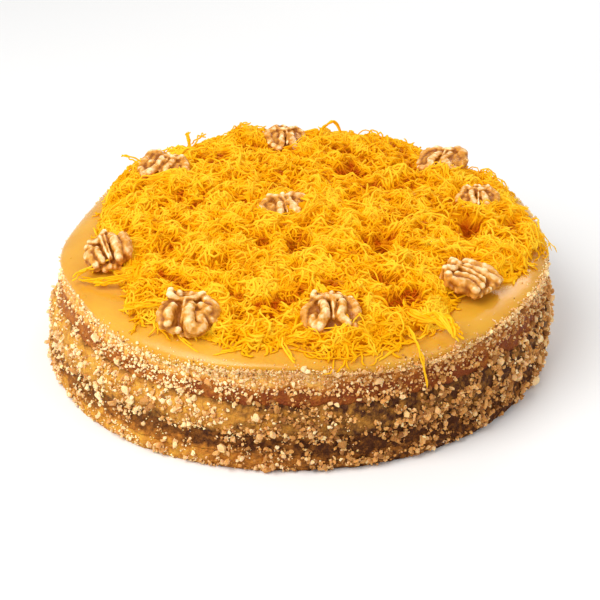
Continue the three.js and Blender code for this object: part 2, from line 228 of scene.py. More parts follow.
def add_node(tree, kind, links=(), **settings):
    """A shader node with its settings, and links from other sockets into its inputs."""
    node = tree.nodes.new(kind)
    for label, value in settings.items():
        setattr(node, label, value)
    for socket, source in links:
        if isinstance(source, bpy.types.NodeSocket):
            tree.links.new(source, node.inputs[socket])
        else:
            node.inputs[socket].default_value = source
    return node


def calculate(tree, operation, first, second, clamp=False):
    node = add_node(tree, "ShaderNodeMath", [(0, first), (1, second)], operation=operation)
    node.use_clamp = clamp
    return node.outputs[0]


def patchy_colour():
    """Three colours of one food: a share from 0, dark, to 1, light, made uneven in patches."""
    group, given, result = shader_group("Patchy colour", [
        ("Dark", "NodeSocketColor", (0, 0, 0, 1)), ("Middle", "NodeSocketColor", (0.5, 0.5, 0.5, 1)),
        ("Light", "NodeSocketColor", (1, 1, 1, 1)), ("Share", "NodeSocketFloat", 0.5),
        ("Patches per metre", "NodeSocketFloat", 100), ("Unevenness", "NodeSocketFloat", 0.5),
    ], [("Colour", "NodeSocketColor")])
    place = add_node(group, "ShaderNodeTexCoord").outputs["Object"]
    patches = add_node(group, "ShaderNodeTexNoise", [
        ("Vector", place), ("Scale", given.outputs["Patches per metre"]), ("Detail", 4.0),
        ("Roughness", 0.6)]).outputs["Fac"]
    swing = calculate(group, "SUBTRACT", patches, 0.5)
    swing = calculate(group, "MULTIPLY", swing, given.outputs["Unevenness"])
    share = calculate(group, "ADD", given.outputs["Share"], swing, clamp=True)
    doubled = calculate(group, "MULTIPLY", share, 2)
    lower = add_node(group, "ShaderNodeMix", data_type="RGBA", links=[
        (0, calculate(group, "MINIMUM", doubled, 1)), (6, given.outputs["Dark"]),
        (7, given.outputs["Middle"])]).outputs[2]
    upper = add_node(group, "ShaderNodeMix", data_type="RGBA", links=[
        (0, calculate(group, "SUBTRACT", doubled, 1, clamp=True)), (6, lower),
        (7, given.outputs["Light"])]).outputs[2]
    group.links.new(upper, result.inputs["Colour"])
    return group


def crumb_relief():
    """The height of baked crumb: small open pores between soft grains."""
    group, given, result = shader_group("Crumb relief", [
        ("Grains per metre", "NodeSocketFloat", 900), ("Pores per metre", "NodeSocketFloat", 500),
    ], [("Height", "NodeSocketFloat")])
    place = add_node(group, "ShaderNodeTexCoord").outputs["Object"]
    grains = add_node(group, "ShaderNodeTexNoise", [
        ("Vector", place), ("Scale", given.outputs["Grains per metre"]), ("Detail", 3.0)])
    pores = add_node(group, "ShaderNodeTexVoronoi", [
        ("Vector", place), ("Scale", given.outputs["Pores per metre"])], feature="F1")
    height = calculate(group, "MULTIPLY", pores.outputs["Distance"], 0.7)
    height = calculate(group, "ADD", grains.outputs["Fac"], height)
    group.links.new(height, result.inputs["Height"])
    return group


def moist_sheen():
    """Roughness that changes in patches between damp and dry."""
    group, given, result = shader_group("Moist sheen", [
        ("Damp", "NodeSocketFloat", 0.3), ("Dry", "NodeSocketFloat", 0.7),
        ("Patches per metre", "NodeSocketFloat", 80),
    ], [("Roughness", "NodeSocketFloat")])
    place = add_node(group, "ShaderNodeTexCoord").outputs["Object"]
    patches = add_node(group, "ShaderNodeTexNoise", [
        ("Vector", place), ("Scale", given.outputs["Patches per metre"]), ("Detail", 2.0)])
    rough = add_node(group, "ShaderNodeMapRange", [
        ("Value", patches.outputs["Fac"]), ("From Min", 0.3), ("From Max", 0.7),
        ("To Min", given.outputs["Damp"]), ("To Max", given.outputs["Dry"])])
    group.links.new(rough.outputs["Result"], result.inputs["Roughness"])
    return group


PATCHY_COLOUR, CRUMB_RELIEF, MOIST_SHEEN = patchy_colour(), crumb_relief(), moist_sheen()
GLOW_COLOURS = (1.0, 0.42, 0.08)  # red goes furthest through egg and crumb


def food_material(name, colours, patches, unevenness, sheen, relief, bump, glow=0.0,
                  glow_reach=0.002, coat=0.0, specular=0.3, inner_light=0.0):
    """A food finish. colours are dark, middle and light; the points' "shade" says how light.
    sheen is (damp, dry) roughness; relief is (grains, pores) per metre; bump is in millimetres.
    inner_light stands for the light that small pieces and thin threads pass on to each other."""
    material = bpy.data.materials.new(name)
    material.use_nodes = True
    tree = material.node_tree
    shader = tree.nodes["Principled BSDF"]
    shade = add_node(tree, "ShaderNodeAttribute", attribute_name="shade").outputs["Fac"]
    dark, middle, light = [(*colour, 1) for colour in colours]
    colour = add_node(tree, "ShaderNodeGroup", node_tree=PATCHY_COLOUR, links=[
        ("Dark", dark), ("Middle", middle), ("Light", light), ("Share", shade),
        ("Patches per metre", patches), ("Unevenness", unevenness)])
    rough = add_node(tree, "ShaderNodeGroup", node_tree=MOIST_SHEEN, links=[
        ("Damp", sheen[0]), ("Dry", sheen[1]), ("Patches per metre", patches)])
    height = add_node(tree, "ShaderNodeGroup", node_tree=CRUMB_RELIEF, links=[
        ("Grains per metre", relief[0]), ("Pores per metre", relief[1])])
    bumps = add_node(tree, "ShaderNodeBump", [
        ("Height", height.outputs["Height"]), ("Strength", 1.0), ("Distance", bump * MM)])
    tree.links.new(colour.outputs["Colour"], shader.inputs["Base Color"])
    tree.links.new(rough.outputs["Roughness"], shader.inputs["Roughness"])
    tree.links.new(bumps.outputs["Normal"], shader.inputs["Normal"])
    shader.inputs["Specular IOR Level"].default_value = specular
    shader.inputs["Subsurface Weight"].default_value = glow
    shader.inputs["Subsurface Radius"].default_value = GLOW_COLOURS
    shader.inputs["Subsurface Scale"].default_value = glow_reach
    shader.inputs["Coat Weight"].default_value = coat
    shader.inputs["Coat Roughness"].default_value = 0.2
    tree.links.new(colour.outputs["Colour"], shader.inputs["Emission Color"])
    shader.inputs["Emission Strength"].default_value = inner_light
    return material


CREAM_YELLOW = (0.79, 0.39, 0.048)
CRUMB_TAN = (0.50, 0.175, 0.022)
CRUST_BROWN = (0.07, 0.018, 0.0035)
# how much yellow cream and crumb shows between the browned edges: by height in mm, round the
# cake by degrees, and in the strip along the glaze; round the cake it is partly the cream itself
# and partly painted shade, less towards the front and right, away from the light
CREAM_HEIGHTS = [0, 7.0, 9.5, 15.5, 18.5, 24.0, 31.2, 34.3, 40.7, 43.0, 50]
CREAM_SHARES = [0.85, 0.75, 0.14, 0.10, 0.55, 0.72, 0.82, 0.19, 0.21, 0.90, 1.0]
CREAM_AND_SHADE_ROUND = [(0, 0.4), (60, 0.8), (120, 0.9), (180, 1.0), (245, 0.88), (257, 0.58), (268, 0.36),
               (285, 0.18), (298, 0.08), (340, 0.06)]
STRIP_ROUND = [(0, 0.35), (90, 0.75), (180, 0.8), (220, 0.85), (268, 1.0), (276, 0.85),
               (284, 0.45), (298, 0.35), (340, 0.3)]
STRIP_FOOT, STRIP_BLEND = 41.5, 2
# the lower brown edge: how far it comes up, in mm, and how much of it shows, round the cake,
# lighter on the left and darker towards the front and right, partly painted light and shade
LOWER_ZONE_TOP, LOWER_ZONE_BLEND = 30, 8
BAND_RISE = [(0, 0), (200, 0), (228, 2.6), (245, 2.2), (258, 1.6), (270, 0.6), (300, 0)]
BAND_FADE = [(0, 0.1), (90, 0.2), (180, 0.3), (215, 0.22), (238, 0.08), (260, 0.02), (330, 0)]
# the least that shows anywhere: more on the left, where the light falls, and none towards the
# front and right, as painted light and shade
PAINTED_LIGHT_LEAST_ROUND = [(0, 0), (60, 0.1), (180, 0.21), (225, 0.18), (250, 0.07), (270, 0.02), (285, 0)]
SMEARS = [(9, 2.0, 3), (3, 1.7, 4)]            # how the bands' edges wander: size, mm, seed
BLOTCHES = [(12, 0.25, 5), (2.6, 0.3, 6)]      # and how blotchy they are: size, share, seed

sponge_crumb = food_material("Sponge crumb", (CRUST_BROWN, CRUMB_TAN, CREAM_YELLOW), 420, 1.0,
                             (0.55, 0.8), (900, 520), 1.1, glow=0.1, specular=0.12)


def side_shade(points):
    """How light the side is at each point: cream smeared over the browned edges of the sponge, with
    painted shade towards the front and right.
    """
    angle = np.arctan2(points[:, 1], points[:, 0])
    height = points[:, 2] - waves(SEAM_WAVES, angle + points[:, 2] / SEAM_TURN)
    low_down = np.clip((LOWER_ZONE_TOP - height) / LOWER_ZONE_BLEND, 0, 1)
    height = height - round_about(BAND_RISE, angle) * low_down + uneven(points, SMEARS)
    strip = np.clip((height - STRIP_FOOT) / STRIP_BLEND, 0, 1) * round_about(STRIP_ROUND, angle)
    # less cream, and painted shade, towards the front and right
    cream_and_shade = np.maximum(round_about(CREAM_AND_SHADE_ROUND, angle), strip)
    share = np.interp(height, CREAM_HEIGHTS, CREAM_SHARES) * cream_and_shade
    share = np.maximum(share, round_about(BAND_FADE, angle) * low_down) + uneven(points, BLOTCHES)
    return np.clip(share, round_about(PAINTED_LIGHT_LEAST_ROUND, angle), 1)


def add_layer(name, rings, material):
    points, faces = turned(rings)
    return add_piece(name, points, faces, material, side_shade(points))


base = add_layer("baked_base_sponge", layer_rings(0, BASE_TOP, BASE_BULGE, 12), sponge_crumb)
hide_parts("base_sponge")


# ---------------------------------------------------------------- lower sponge
# A second thin sponge whose browned edge faces out, so that it shows as a dark band between
# the base and the filling. It is soaked and stacked on the base, and shrinks in a little.
LOWER_TOP = 18
SPONGE_BULGE = -0.6               # its side is a little hollow between its edges

browned_edge = food_material("Browned sponge edge", (CRUST_BROWN, CRUMB_TAN, CREAM_YELLOW), 420, 0.8,
                             (0.45, 0.75), (1000, 600), 0.9, glow=0.08, specular=0.12)
lower_rings = layer_rings(BASE_TOP, LOWER_TOP, SPONGE_BULGE, 12)
lower = add_layer("baked_lower_sponge", lower_rings, browned_edge)
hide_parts("lower_sponge")


# ---------------------------------------------------------------- egg cream filling
# A thick layer of egg yolk cream and crumb, spread on the lower sponge and pressed down by
# the one above, so that it squeezes out past both and carries most of the chopped walnut.
FILLING_TOP = 34
FILLING_BULGE = 1.6

egg_cream = food_material("Egg cream", (CRUST_BROWN, (0.56, 0.235, 0.03), (0.81, 0.42, 0.055)),
                          380, 0.9, (0.4, 0.65), (800, 480), 1.0, glow=0.15, specular=0.15)
filling_rings = layer_rings(LOWER_TOP, FILLING_TOP, FILLING_BULGE, 22)
filling = add_layer("pressed_egg_cream", filling_rings, egg_cream)
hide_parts("egg_cream_filling")


# ---------------------------------------------------------------- upper sponge
# The top sponge, baked with a rounded shoulder. Its browned side shows as a reddish band
# under the glaze, and a strip of fine pale crumb clings to it along the glaze's edge.
SPONGE_TOP = 53.3
SHOULDER_WIDTH = 13
SHOULDER_SUNK = -0.8              # the sponge's shoulder lies this far under its side's line
SKIRT_WAVES = [(6, 2.2, 3.46), (3, 0.6, 1.9)]


def skirt_height(angle):
    return SKIRT_HEIGHT + waves(SKIRT_WAVES, angle)


def shoulder_point(angle, turn, side_offset, top_offset):
    """Radius and height on the shoulder, or on a skin over it: 0 is the skirt, 1 the top."""
    low = skirt_height(angle)
    middle = side_radius(low, angle) - SHOULDER_WIDTH
    swing = turn * np.pi / 2
    return (middle + (SHOULDER_WIDTH + side_offset) * np.cos(swing),
            low + (SPONGE_TOP - low + top_offset) * np.sin(swing))


def upper_rings():
    """Rings of the upper sponge: its underside, its side up to the glaze, and its shoulder."""
    angle = full_turn(ROUND_STEPS)
    floor, roof = seam_height(FILLING_TOP, 1, angle), skirt_height(angle)
    side = side_rings(angle, floor, roof, SPONGE_BULGE, 20)
    over = []
    for turn in (0.15, 0.4, 0.7, 1):
        radius, height = shoulder_point(angle, turn, SHOULDER_SUNK, 0)
        over.append(polar(radius, angle, height))
    return np.concatenate([seam_rings(FILLING_TOP, angle, (0.8, 0.97)), side, over])


crust = food_material("Reddish crust", ((0.22, 0.043, 0.006), (0.60, 0.205, 0.025), (0.96, 0.53, 0.11)),
                      320, 0.6, (0.4, 0.7), (1000, 650), 0.9, glow=0.08, specular=0.15)
upper = add_layer("baked_upper_sponge", upper_rings(), crust)
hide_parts("upper_sponge")


# ---------------------------------------------------------------- egg glaze
# A caramel-coloured glaze of egg yolk and sugar, poured over the top while warm. It is smooth
# and softly shiny, follows the shoulder, and sets in an uneven skirt on the side.
GAP = 0.3                         # between the glaze and the sponge under it
SHOULDER_GAP = 0.45
GLAZE_THICKNESS = 2.6
SKIRT_THICKNESS = 1.1
LIP_SHARE, LIP_GROWTH = 0.25, 2.5   # the skirt thins to this share of it at its lower edge
LIP_DROP = 0.3
GLAZE_STEPS = 540
GLAZE_DRIPS = [(17, 0.5, 1.0), (29, 0.35, 2.0), (43, 0.25, 0.4)]   # order, mm, phase
GLAZE_TOP = SPONGE_TOP + GAP + GLAZE_THICKNESS
GLAZE_LUMPS = [(16, 0.25, 21), (6, 0.1, 22)]                       # size, mm, seed
LUMPS_FROM = GLAZE_TOP - 6


def glaze_rings():
    """Rings of the glaze: its inner face, up from the lip over its outer face, and its top."""
    angle = full_turn(GLAZE_STEPS)
    inside, outside = [], []
    for turn in np.linspace(1, 0, 7):
        radius, height = shoulder_point(angle, turn, SHOULDER_GAP, GAP)
        inside.append(polar(radius, angle, height))
    for turn in np.linspace(0, 1, 22):
        thickness = SKIRT_THICKNESS * min(LIP_SHARE + LIP_GROWTH * turn, 1)
        radius, height = shoulder_point(angle, turn, SHOULDER_GAP + thickness, GAP + GLAZE_THICKNESS)
        drip = waves(GLAZE_DRIPS, angle) * (1 - turn) ** 4
        outside.append(polar(radius, angle, height + drip))
    lip_radius, lip_height = shoulder_point(angle, 0, SHOULDER_GAP + SKIRT_THICKNESS / 8, 0)
    lip = polar(lip_radius, angle, lip_height - LIP_DROP + waves(GLAZE_DRIPS, angle))
    edge = np.hypot(outside[-1][:, 0], outside[-1][:, 1])
    flat = [polar(edge * reach, angle, GLAZE_TOP) for reach in (0.97, 0.93, 0.88, 0.8, 0.65, 0.4, 0.2)]
    under = [polar(edge * reach, angle, SPONGE_TOP + GAP) for reach in (0.4, 0.8)]
    return np.concatenate([under, inside, [lip], outside, flat])


glaze_points, glaze_faces = turned(glaze_rings())
glaze_points[:, 2] += np.where(glaze_points[:, 2] > LUMPS_FROM, uneven(glaze_points, GLAZE_LUMPS), 0)
caramel_colours = ((0.57, 0.232, 0.011), (0.69, 0.332, 0.020), (0.80, 0.46, 0.055))
caramel_glaze = food_material("Caramel egg glaze", caramel_colours, 45, 0.4, (0.26, 0.40), (500, 260),
                              0.06, glow=0.3, glow_reach=0.004, coat=0.22)
glaze_shade = 0.5 + 0.25 * lumps(glaze_points, 24, 23)
glaze = add_piece("poured_egg_glaze", glaze_points, glaze_faces, caramel_glaze, glaze_shade)
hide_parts("egg_glaze")


# ---------------------------------------------------------------- chopped walnut
# Walnut chopped from fine meal to pieces of half a centimetre, pressed by hand onto the egg
# cream that the side is brushed with. It lies thick on the filling and thin on the crust.


def round_solid(detail):
    """Corner points and faces of a unit ball with few faces: 0 has 8, 1 has 20 and 2 has 80."""
    if detail == 0:
        corners = np.array([(1, 0, 0), (0, 1, 0), (-1, 0, 0), (0, -1, 0), (0, 0, 1), (0, 0, -1)], float)
        ring = [(0, 1), (1, 2), (2, 3), (3, 0)]
        return corners, np.array([(a, b, 4) for a, b in ring] + [(b, a, 5) for a, b in ring])
    shape = bmesh.new()
    bmesh.ops.create_icosphere(shape, subdivisions=detail, radius=1)
    corners = np.array([corner.co[:] for corner in shape.verts])
    faces = np.array([[corner.index for corner in face.verts] for face in shape.faces])
    shape.free()
    return corners, faces


def random_turns(draw, count):
    """Rotation matrices, spread evenly over all directions."""
    turns = draw.normal(size=(4, count))
    w, x, y, z = turns / np.linalg.norm(turns, axis=0)
    return np.stack([
        np.stack([1 - 2 * (y * y + z * z), 2 * (x * y - w * z), 2 * (x * z + w * y)], -1),
        np.stack([2 * (x * y + w * z), 1 - 2 * (x * x + z * z), 2 * (y * z - w * x)], -1),
        np.stack([2 * (x * z - w * y), 2 * (y * z + w * x), 1 - 2 * (x * x + y * y)], -1)], -2)


def chopped(draw, places, sizes, detail, cuts):
    """Broken pieces: balls with uneven corners, sliced flat by some cuts, turned at random."""
    corners, faces = round_solid(detail)
    count = len(places)
    shapes = corners * draw.uniform(0.82, 1.14, (count, len(corners), 1))
    shapes = shapes * draw.uniform(0.55, 1.25, (count, 1, 3))
    for _ in range(cuts):
        across = draw.normal(size=(count, 1, 3))
        across /= np.linalg.norm(across, axis=2, keepdims=True)
        over = (shapes * across).sum(2, keepdims=True) - draw.uniform(0.15, 0.6, (count, 1, 1))
        shapes = shapes - np.maximum(over, 0) * across
    shapes = np.einsum("nij,nkj->nki", random_turns(draw, count), shapes)
    points = shapes * sizes[:, None, None] / 2 + places[:, None, :]
    points[..., 2] = np.maximum(points[..., 2], 0.05)
    numbers = np.arange(count)[:, None, None] * len(corners) + faces
    return points.reshape(-1, 3), [numbers.reshape(-1, 3)], len(corners)


# how thickly the walnut lies: by height in mm, then round the cake by degrees
COVER_HEIGHTS = [0, 6, 9.5, 13, 17.5, 20, 30, 34, 38, 42.5, 45, 50]
COARSE_COVER = [0.8, 0.7, 0.45, 0.4, 0.6, 0.9, 0.9, 0.6, 0.22, 0.16, 0.2, 0.15]
FINE_COVER = [0.8, 0.8, 0.45, 0.35, 0.5, 0.8, 0.8, 0.5, 0.3, 0.3, 0.45, 0.5]
COARSE_ROUND = [(0, 1.1), (90, 0.6), (170, 0.4), (225, 0.4), (250, 0.65), (275, 0.9), (295, 1.3),
                (340, 1.35)]
FINE_ROUND = [(0, 0.8), (90, 0.8), (180, 1.0), (240, 1.0), (280, 0.9), (310, 0.75)]
RIM_ROUND = [(0, 0.6), (60, 0.4), (150, 0.2), (180, 0.06), (215, 0.08), (240, 0.5), (285, 0.45),
             (297, 1.0), (306, 1.0), (315, 0.7), (322, 1.0), (345, 0.8)]
# it also lies in patches: size, share and seed, and the mean, least and most that these give
COVER_PATCHES = [(9, 1.4, 7), (4, 1.6, 8)]
PATCH_MEAN, PATCH_LEAST, PATCH_MOST = 0.6, 0.03, 2
# how pale it is round the cake, darker towards the front partly as painted shade, and how many
# of the small pieces are bits of dark skin
PALE_AND_SHADE_ROUND = [(0, 0.64), (90, 0.68), (180, 0.80), (245, 0.72), (262, 0.46), (290, 0.37), (310, 0.39),
              (340, 0.51)]
SKIN_SHARE, SKIN_SIZE, SKIN_SHADE = 0.04, 1.8, 0.05


def side_radius_at(height, angle):
    """The side with the bulges of its layers, by height."""
    seams = [(0, BASE_TOP, BASE_BULGE), (BASE_TOP, LOWER_TOP, SPONGE_BULGE),
             (LOWER_TOP, FILLING_TOP, FILLING_BULGE), (FILLING_TOP, SKIRT_HEIGHT, SPONGE_BULGE)]
    radius = side_radius(height, angle)
    for low, high, bulge in seams:
        floor, roof = seam_height(low, 1, angle), seam_height(high, 1, angle)
        share = np.clip((height - floor) / (roof - floor), 0, 1)
        radius = radius + bulge * np.sin(np.pi * share)
    return radius


def scatter(draw, wanted, heights, around, smallest, largest, power):
    """Places on the side for chopped pieces, kept or dropped by how thickly they lie there."""
    tries = wanted * 4
    angle = draw.uniform(0, 2 * np.pi, tries)
    size = smallest + (largest - smallest) * draw.uniform(0, 1, tries) ** power
    top = skirt_height(angle) + 1.0
    height = draw.uniform(0, 1, tries) * (top - size / 2) + size / 2
    seam = waves(SEAM_WAVES, angle + height / SEAM_TURN)
    thick = np.interp(height - seam, COVER_HEIGHTS, heights) * round_about(around, angle)
    spots = polar(side_radius(height, angle), angle, height)
    thick = thick * np.clip(PATCH_MEAN + uneven(spots, COVER_PATCHES), PATCH_LEAST, PATCH_MOST)
    kept = np.flatnonzero(draw.uniform(0, 1, tries) < thick)[:wanted]
    angle, height, size = angle[kept], height[kept], size[kept]
    sunk = draw.uniform(-0.05, 0.4, len(kept)) * size
    return polar(side_radius_at(height, angle) + sunk, angle, height), size


def rim_scatter(draw, wanted, smallest, largest, fall):
    """Places on the lower edge of the glaze, where walnut that was pressed too high sticks."""
    angle = draw.uniform(0, 2 * np.pi, wanted * 3)
    kept = draw.uniform(0, 1, wanted * 3) < round_about(RIM_ROUND, angle)
    angle = angle[kept][:wanted]
    size = draw.uniform(smallest, largest, len(angle))
    turn = draw.exponential(fall, len(angle))
    radius, height = shoulder_point(angle, np.minimum(turn, 0.8), SHOULDER_GAP + SKIRT_THICKNESS,
                                    GAP + GLAZE_THICKNESS)
    return polar(radius + 0.15 * size, angle, height + 0.1 * size), size


walnut_colours = ((0.17, 0.050, 0.010), (0.65, 0.31, 0.085), (0.96, 0.77, 0.43))
walnut_meal = food_material("Chopped walnut", walnut_colours, 700, 0.4, (0.45, 0.7), (1500, 900), 0.12,
                            glow=0.3, glow_reach=0.001, specular=0.12, inner_light=0.11)
CHOPPED_KINDS = {      # how many, smallest and largest size, power, detail, cuts, cover
    "chopped_walnut_coarse": (700, 3.0, 6.4, 1.8, 2, 7, COARSE_COVER, COARSE_ROUND),
    "chopped_walnut_medium": (5000, 1.8, 3.5, 1.3, 1, 4, COARSE_COVER, COARSE_ROUND),
    "chopped_walnut_fine": (10800, 0.7, 1.6, 1.2, 0, 1, FINE_COVER, FINE_ROUND),
}
RIM_KINDS = {          # how many, smallest and largest size, how far up, detail, cuts
    "rim_walnut_coarse": (90, 2.0, 3.6, 0.10, 1, 3),
    "rim_walnut_fine": (3000, 0.5, 1.5, 0.12, 0, 1),
}
# fine meal that clings to the strip under the glaze's edge: thickest along that edge
STRIP_CRUMBS = 4600
STRIP_TOP, STRIP_DEPTH, STRIP_GATHER = 0.4, 12, 1.8
STRIP_SIZES = (0.9, 2.4)
STRIP_COVER = [(0, 0.7), (150, 0.4), (180, 0.1), (215, 0.15), (235, 0.7), (255, 1.0), (276, 1.0),
               (286, 0.6), (340, 0.6)]


def add_chopped(kind, draw, places, sizes, detail, cuts, paler=0.0, spread=0.22):
    """Broken pieces at those places as one mesh, each with its own tint and facets."""
    points, faces, corners = chopped(draw, places, sizes, detail, cuts)
    # paler on the left and darker towards the front: partly the walnut's own tone, partly painted shade
    pale_and_shade = round_about(PALE_AND_SHADE_ROUND, np.arctan2(places[:, 1], places[:, 0]))
    tint = np.clip(pale_and_shade + paler + draw.normal(0, spread, len(places)), 0.1, 1)
    skin = (draw.uniform(0, 1, len(places)) < SKIN_SHARE) & (sizes < SKIN_SIZE)
    tint = np.repeat(np.where(skin, SKIN_SHADE, tint), corners)
    pieces = add_piece(kind, points, faces, walnut_meal, tint, smooth=False)


for number, (kind, how) in enumerate(CHOPPED_KINDS.items()):
    count, smallest, largest, power, detail, cuts, heights, around = how
    draw = np.random.default_rng(400 + number)
    places, sizes = scatter(draw, count, heights, around, smallest, largest, power)
    add_chopped(kind, draw, places, sizes, detail, cuts)
for number, (kind, how) in enumerate(RIM_KINDS.items()):
    count, smallest, largest, fall, detail, cuts = how
    draw = np.random.default_rng(450 + number)
    places, sizes = rim_scatter(draw, count, smallest, largest, fall)
    add_chopped(kind, draw, places, sizes, detail, cuts, paler=0.25, spread=0.15)
draw = np.random.default_rng(460)
angle = draw.uniform(0, 2 * np.pi, 2 * STRIP_CRUMBS)
angle = angle[draw.uniform(0, 1, len(angle)) < round_about(STRIP_COVER, angle)][:STRIP_CRUMBS]
down = STRIP_DEPTH * draw.uniform(0, 1, len(angle)) ** STRIP_GATHER
height = skirt_height(angle) + STRIP_TOP - down
sizes = draw.uniform(*STRIP_SIZES, len(angle))
stands_out = draw.uniform(-0.2, 0.4, len(angle)) * sizes
places = polar(side_radius_at(height, angle) + stands_out, angle, height)
add_chopped("strip_walnut_meal", draw, places, sizes, 0, 1, paler=0.22, spread=0.13)


# ---------------------------------------------------------------- bed of egg threads
# Egg yolk poured in fine streams into boiling syrup sets as threads a millimetre thick. They
# are heaped by hand over the glaze in loose clumps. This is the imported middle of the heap.
HEAP_RADIUS = 108
HEAP_HEIGHT = 11.5
HEAP_WAVES = [(9, 1.4, 2.0), (14, 1.2, 0.3)]                       # order, mm, phase
HEAP_SWELLS = [                  # degrees, mm, width in degrees
    (-135, 7, 8), (-119, 3, 8), (-152, -14, 13), (-103, 6, 7), (-92, -8, 5), (-82, 9, 12), (-66, 8, 9),
    (-41, -11, 10), (-6, 15, 17), (24, 8, 13), (60, 6, 20), (108, 6, 17), (144, 3, 12), (-179, -9, 10)]
HEAP_BUMPS = [(7, 2.3, 0.7), (3.7, 1.3, 2.9)]                      # scale, mm, phase
HEAP_HOLES = [(41, -32, 8.5), (-1, -31, 5), (86, -14, 4.5), (75, -72, 6)]   # x, y, radius
HEAP_CREVICES = [(-24, 14, 5), (-18, 38, 4), (25, 51, 5), (36, 27, 4.5), (72, -60, 5), (26, -94, 4.5),
                 (-82, -40, 5), (-62, -62, 5), (-46, 62, 4), (70, -24, 4), (34, -106, 4),
                 (42, -21, 4.5), (-2, -25, 3), (86, -9, 2.5), (75, -65, 3.5)]
CREVICE_DEPTH = 0.65             # share of the heap's depth that is missing in a crevice
# how much painted shade falls in the holes and crevices, and how fast it fades away from them
HOLLOW_PAINTED_SHADE, HOLLOW_FALL = 0.62, 0.7
HEAP_TUFTS = [                   # x, y, rise, radius
    (-33, 98, 7, 10), (-63, 80, 3.5, 12), (-86, 58, 3.5, 12), (-98, 36, 3, 10), (-8, 72, 4, 8),
    (8, 92, 3, 10), (-68, 36, 3, 7), (76, 43, 4, 8), (92, -1, 2, 5)]
# the clumps' tops are paler and the creases between them darker: painted light and shade
CLUMPS = [(26, 1.4, 0.12), (10, 2.2, 0.24), (5.2, 1.3, 0.2)]   # size, depth, how much darker between
TINT_PATCHES = [(13, 0.6, 51), (6, 1.0, 52), (3.2, 0.6, 53)]       # size, share, seed
MAP_HALF = 135                   # the maps of the heap reach this far, with a point each mm


def ripples(x, y, scale, phase):
    """Low ripples that hardly repeat, from -1.33 to 1.33 at most."""
    a, b = x / scale, y / scale
    return (np.sin(a + 0.6 * np.sin(b + phase)) + np.sin(0.8 * b - 0.5 * a + 2.1 * phase)
            + np.sin(0.7 * a + 1.3 * b + 0.9 * np.sin(0.6 * a + phase)) + np.sin(1.7 * b + 0.4 * a)) / 3


def heap_reach(angle):
    """How far out the heap's uneven edge lies."""
    return HEAP_RADIUS + waves(HEAP_WAVES, angle) + swells(HEAP_SWELLS, angle)


def glaze_height(x, y):
    """Height of the glaze's outer face, with its shoulder and the side below it."""
    angle, radius = np.arctan2(y, x), np.hypot(x, y)
    low = skirt_height(angle)
    middle = side_radius(low, angle) - SHOULDER_WIDTH
    out = np.clip((radius - middle) / (SHOULDER_WIDTH + SHOULDER_GAP + SKIRT_THICKNESS), 0, 1)
    return low + (GLAZE_TOP - low) * np.sqrt(1 - out ** 2)


def clump_domes(x, y, size):
    """Domes of the clumps, 1 on top and falling to about -1 in the creases between them."""
    spots = np.stack([x / size, y / size, 0.15 * np.sin(x / 9)], -1)
    near = np.array([noise.voronoi(spot)[0][0] for spot in spots.tolist()])
    return 1 - 3.4 * near ** 2


# three maps: the heap's depth, the painted shade in its creases and holes, and patches of tint
axis = np.arange(-MAP_HALF, MAP_HALF + 1.0)
grid_x, grid_y = [part.ravel() for part in np.meshgrid(axis, axis, indexing="ij")]
grid_angle = np.arctan2(grid_y, grid_x)
grid_reach = np.minimum(np.hypot(grid_x, grid_y) / heap_reach(grid_angle), 1)
domes = []
for size, _, _ in CLUMPS:
    bent_x = grid_x + 0.3 * size * np.sin(grid_y / size)
    domes.append(clump_domes(bent_x, grid_y, size))
bumps = sum(size * ripples(grid_x, grid_y, scale, phase) for scale, size, phase in HEAP_BUMPS)
depth = HEAP_HEIGHT + 0.5 * bumps
depth = depth + sum(fall * (dome - 0.4) for (_, fall, _), dome in zip(CLUMPS, domes))
for x, y, rise, radius in HEAP_TUFTS:
    depth += rise * np.exp(-((grid_x - x) ** 2 + (grid_y - y) ** 2) / radius ** 2)
depth = depth * (0.16 + 0.84 * np.sqrt(1 - grid_reach ** 4)) * (grid_reach < 1)
# painted shade: darker between the clumps and in the holes and crevices
painted_crease_shade = 0.55 + sum(dark * dome for (_, _, dark), dome in zip(CLUMPS, domes))
for x, y, radius in HEAP_HOLES + HEAP_CREVICES:
    away = np.hypot(grid_x - x, grid_y - y) / radius
    painted_crease_shade -= HOLLOW_PAINTED_SHADE * np.exp(-HOLLOW_FALL * away ** 2)
    bare = (x, y, radius) in HEAP_HOLES
    depth *= np.clip((away - 0.75) / 0.6, 0, 1) if bare else 1 - CREVICE_DEPTH * np.exp(-away ** 2)
heap_map = np.maximum(depth, 0).reshape(len(axis), -1)
painted_crease_shade_map = np.clip(painted_crease_shade, 0, 1).reshape(len(axis), -1)
grid = np.stack([grid_x, grid_y, 0 * grid_x], -1)
patch_map = uneven(grid, TINT_PATCHES).reshape(len(axis), -1)


def read_map(values, x, y):
    """Value of a map between its points."""
    last = len(values) - 1.001
    across, along = np.clip(x + MAP_HALF, 0, last), np.clip(y + MAP_HALF, 0, last)
    i, j = across.astype(int), along.astype(int)
    u, v = across - i, along - j
    return ((values[i, j] * (1 - u) + values[i + 1, j] * u) * (1 - v)
            + (values[i, j + 1] * (1 - u) + values[i + 1, j + 1] * u) * v)


def heap_height(x, y):
    """Height of the heap's surface, or of the glaze where there is no heap."""
    return glaze_height(x, y) + read_map(heap_map, x, y)


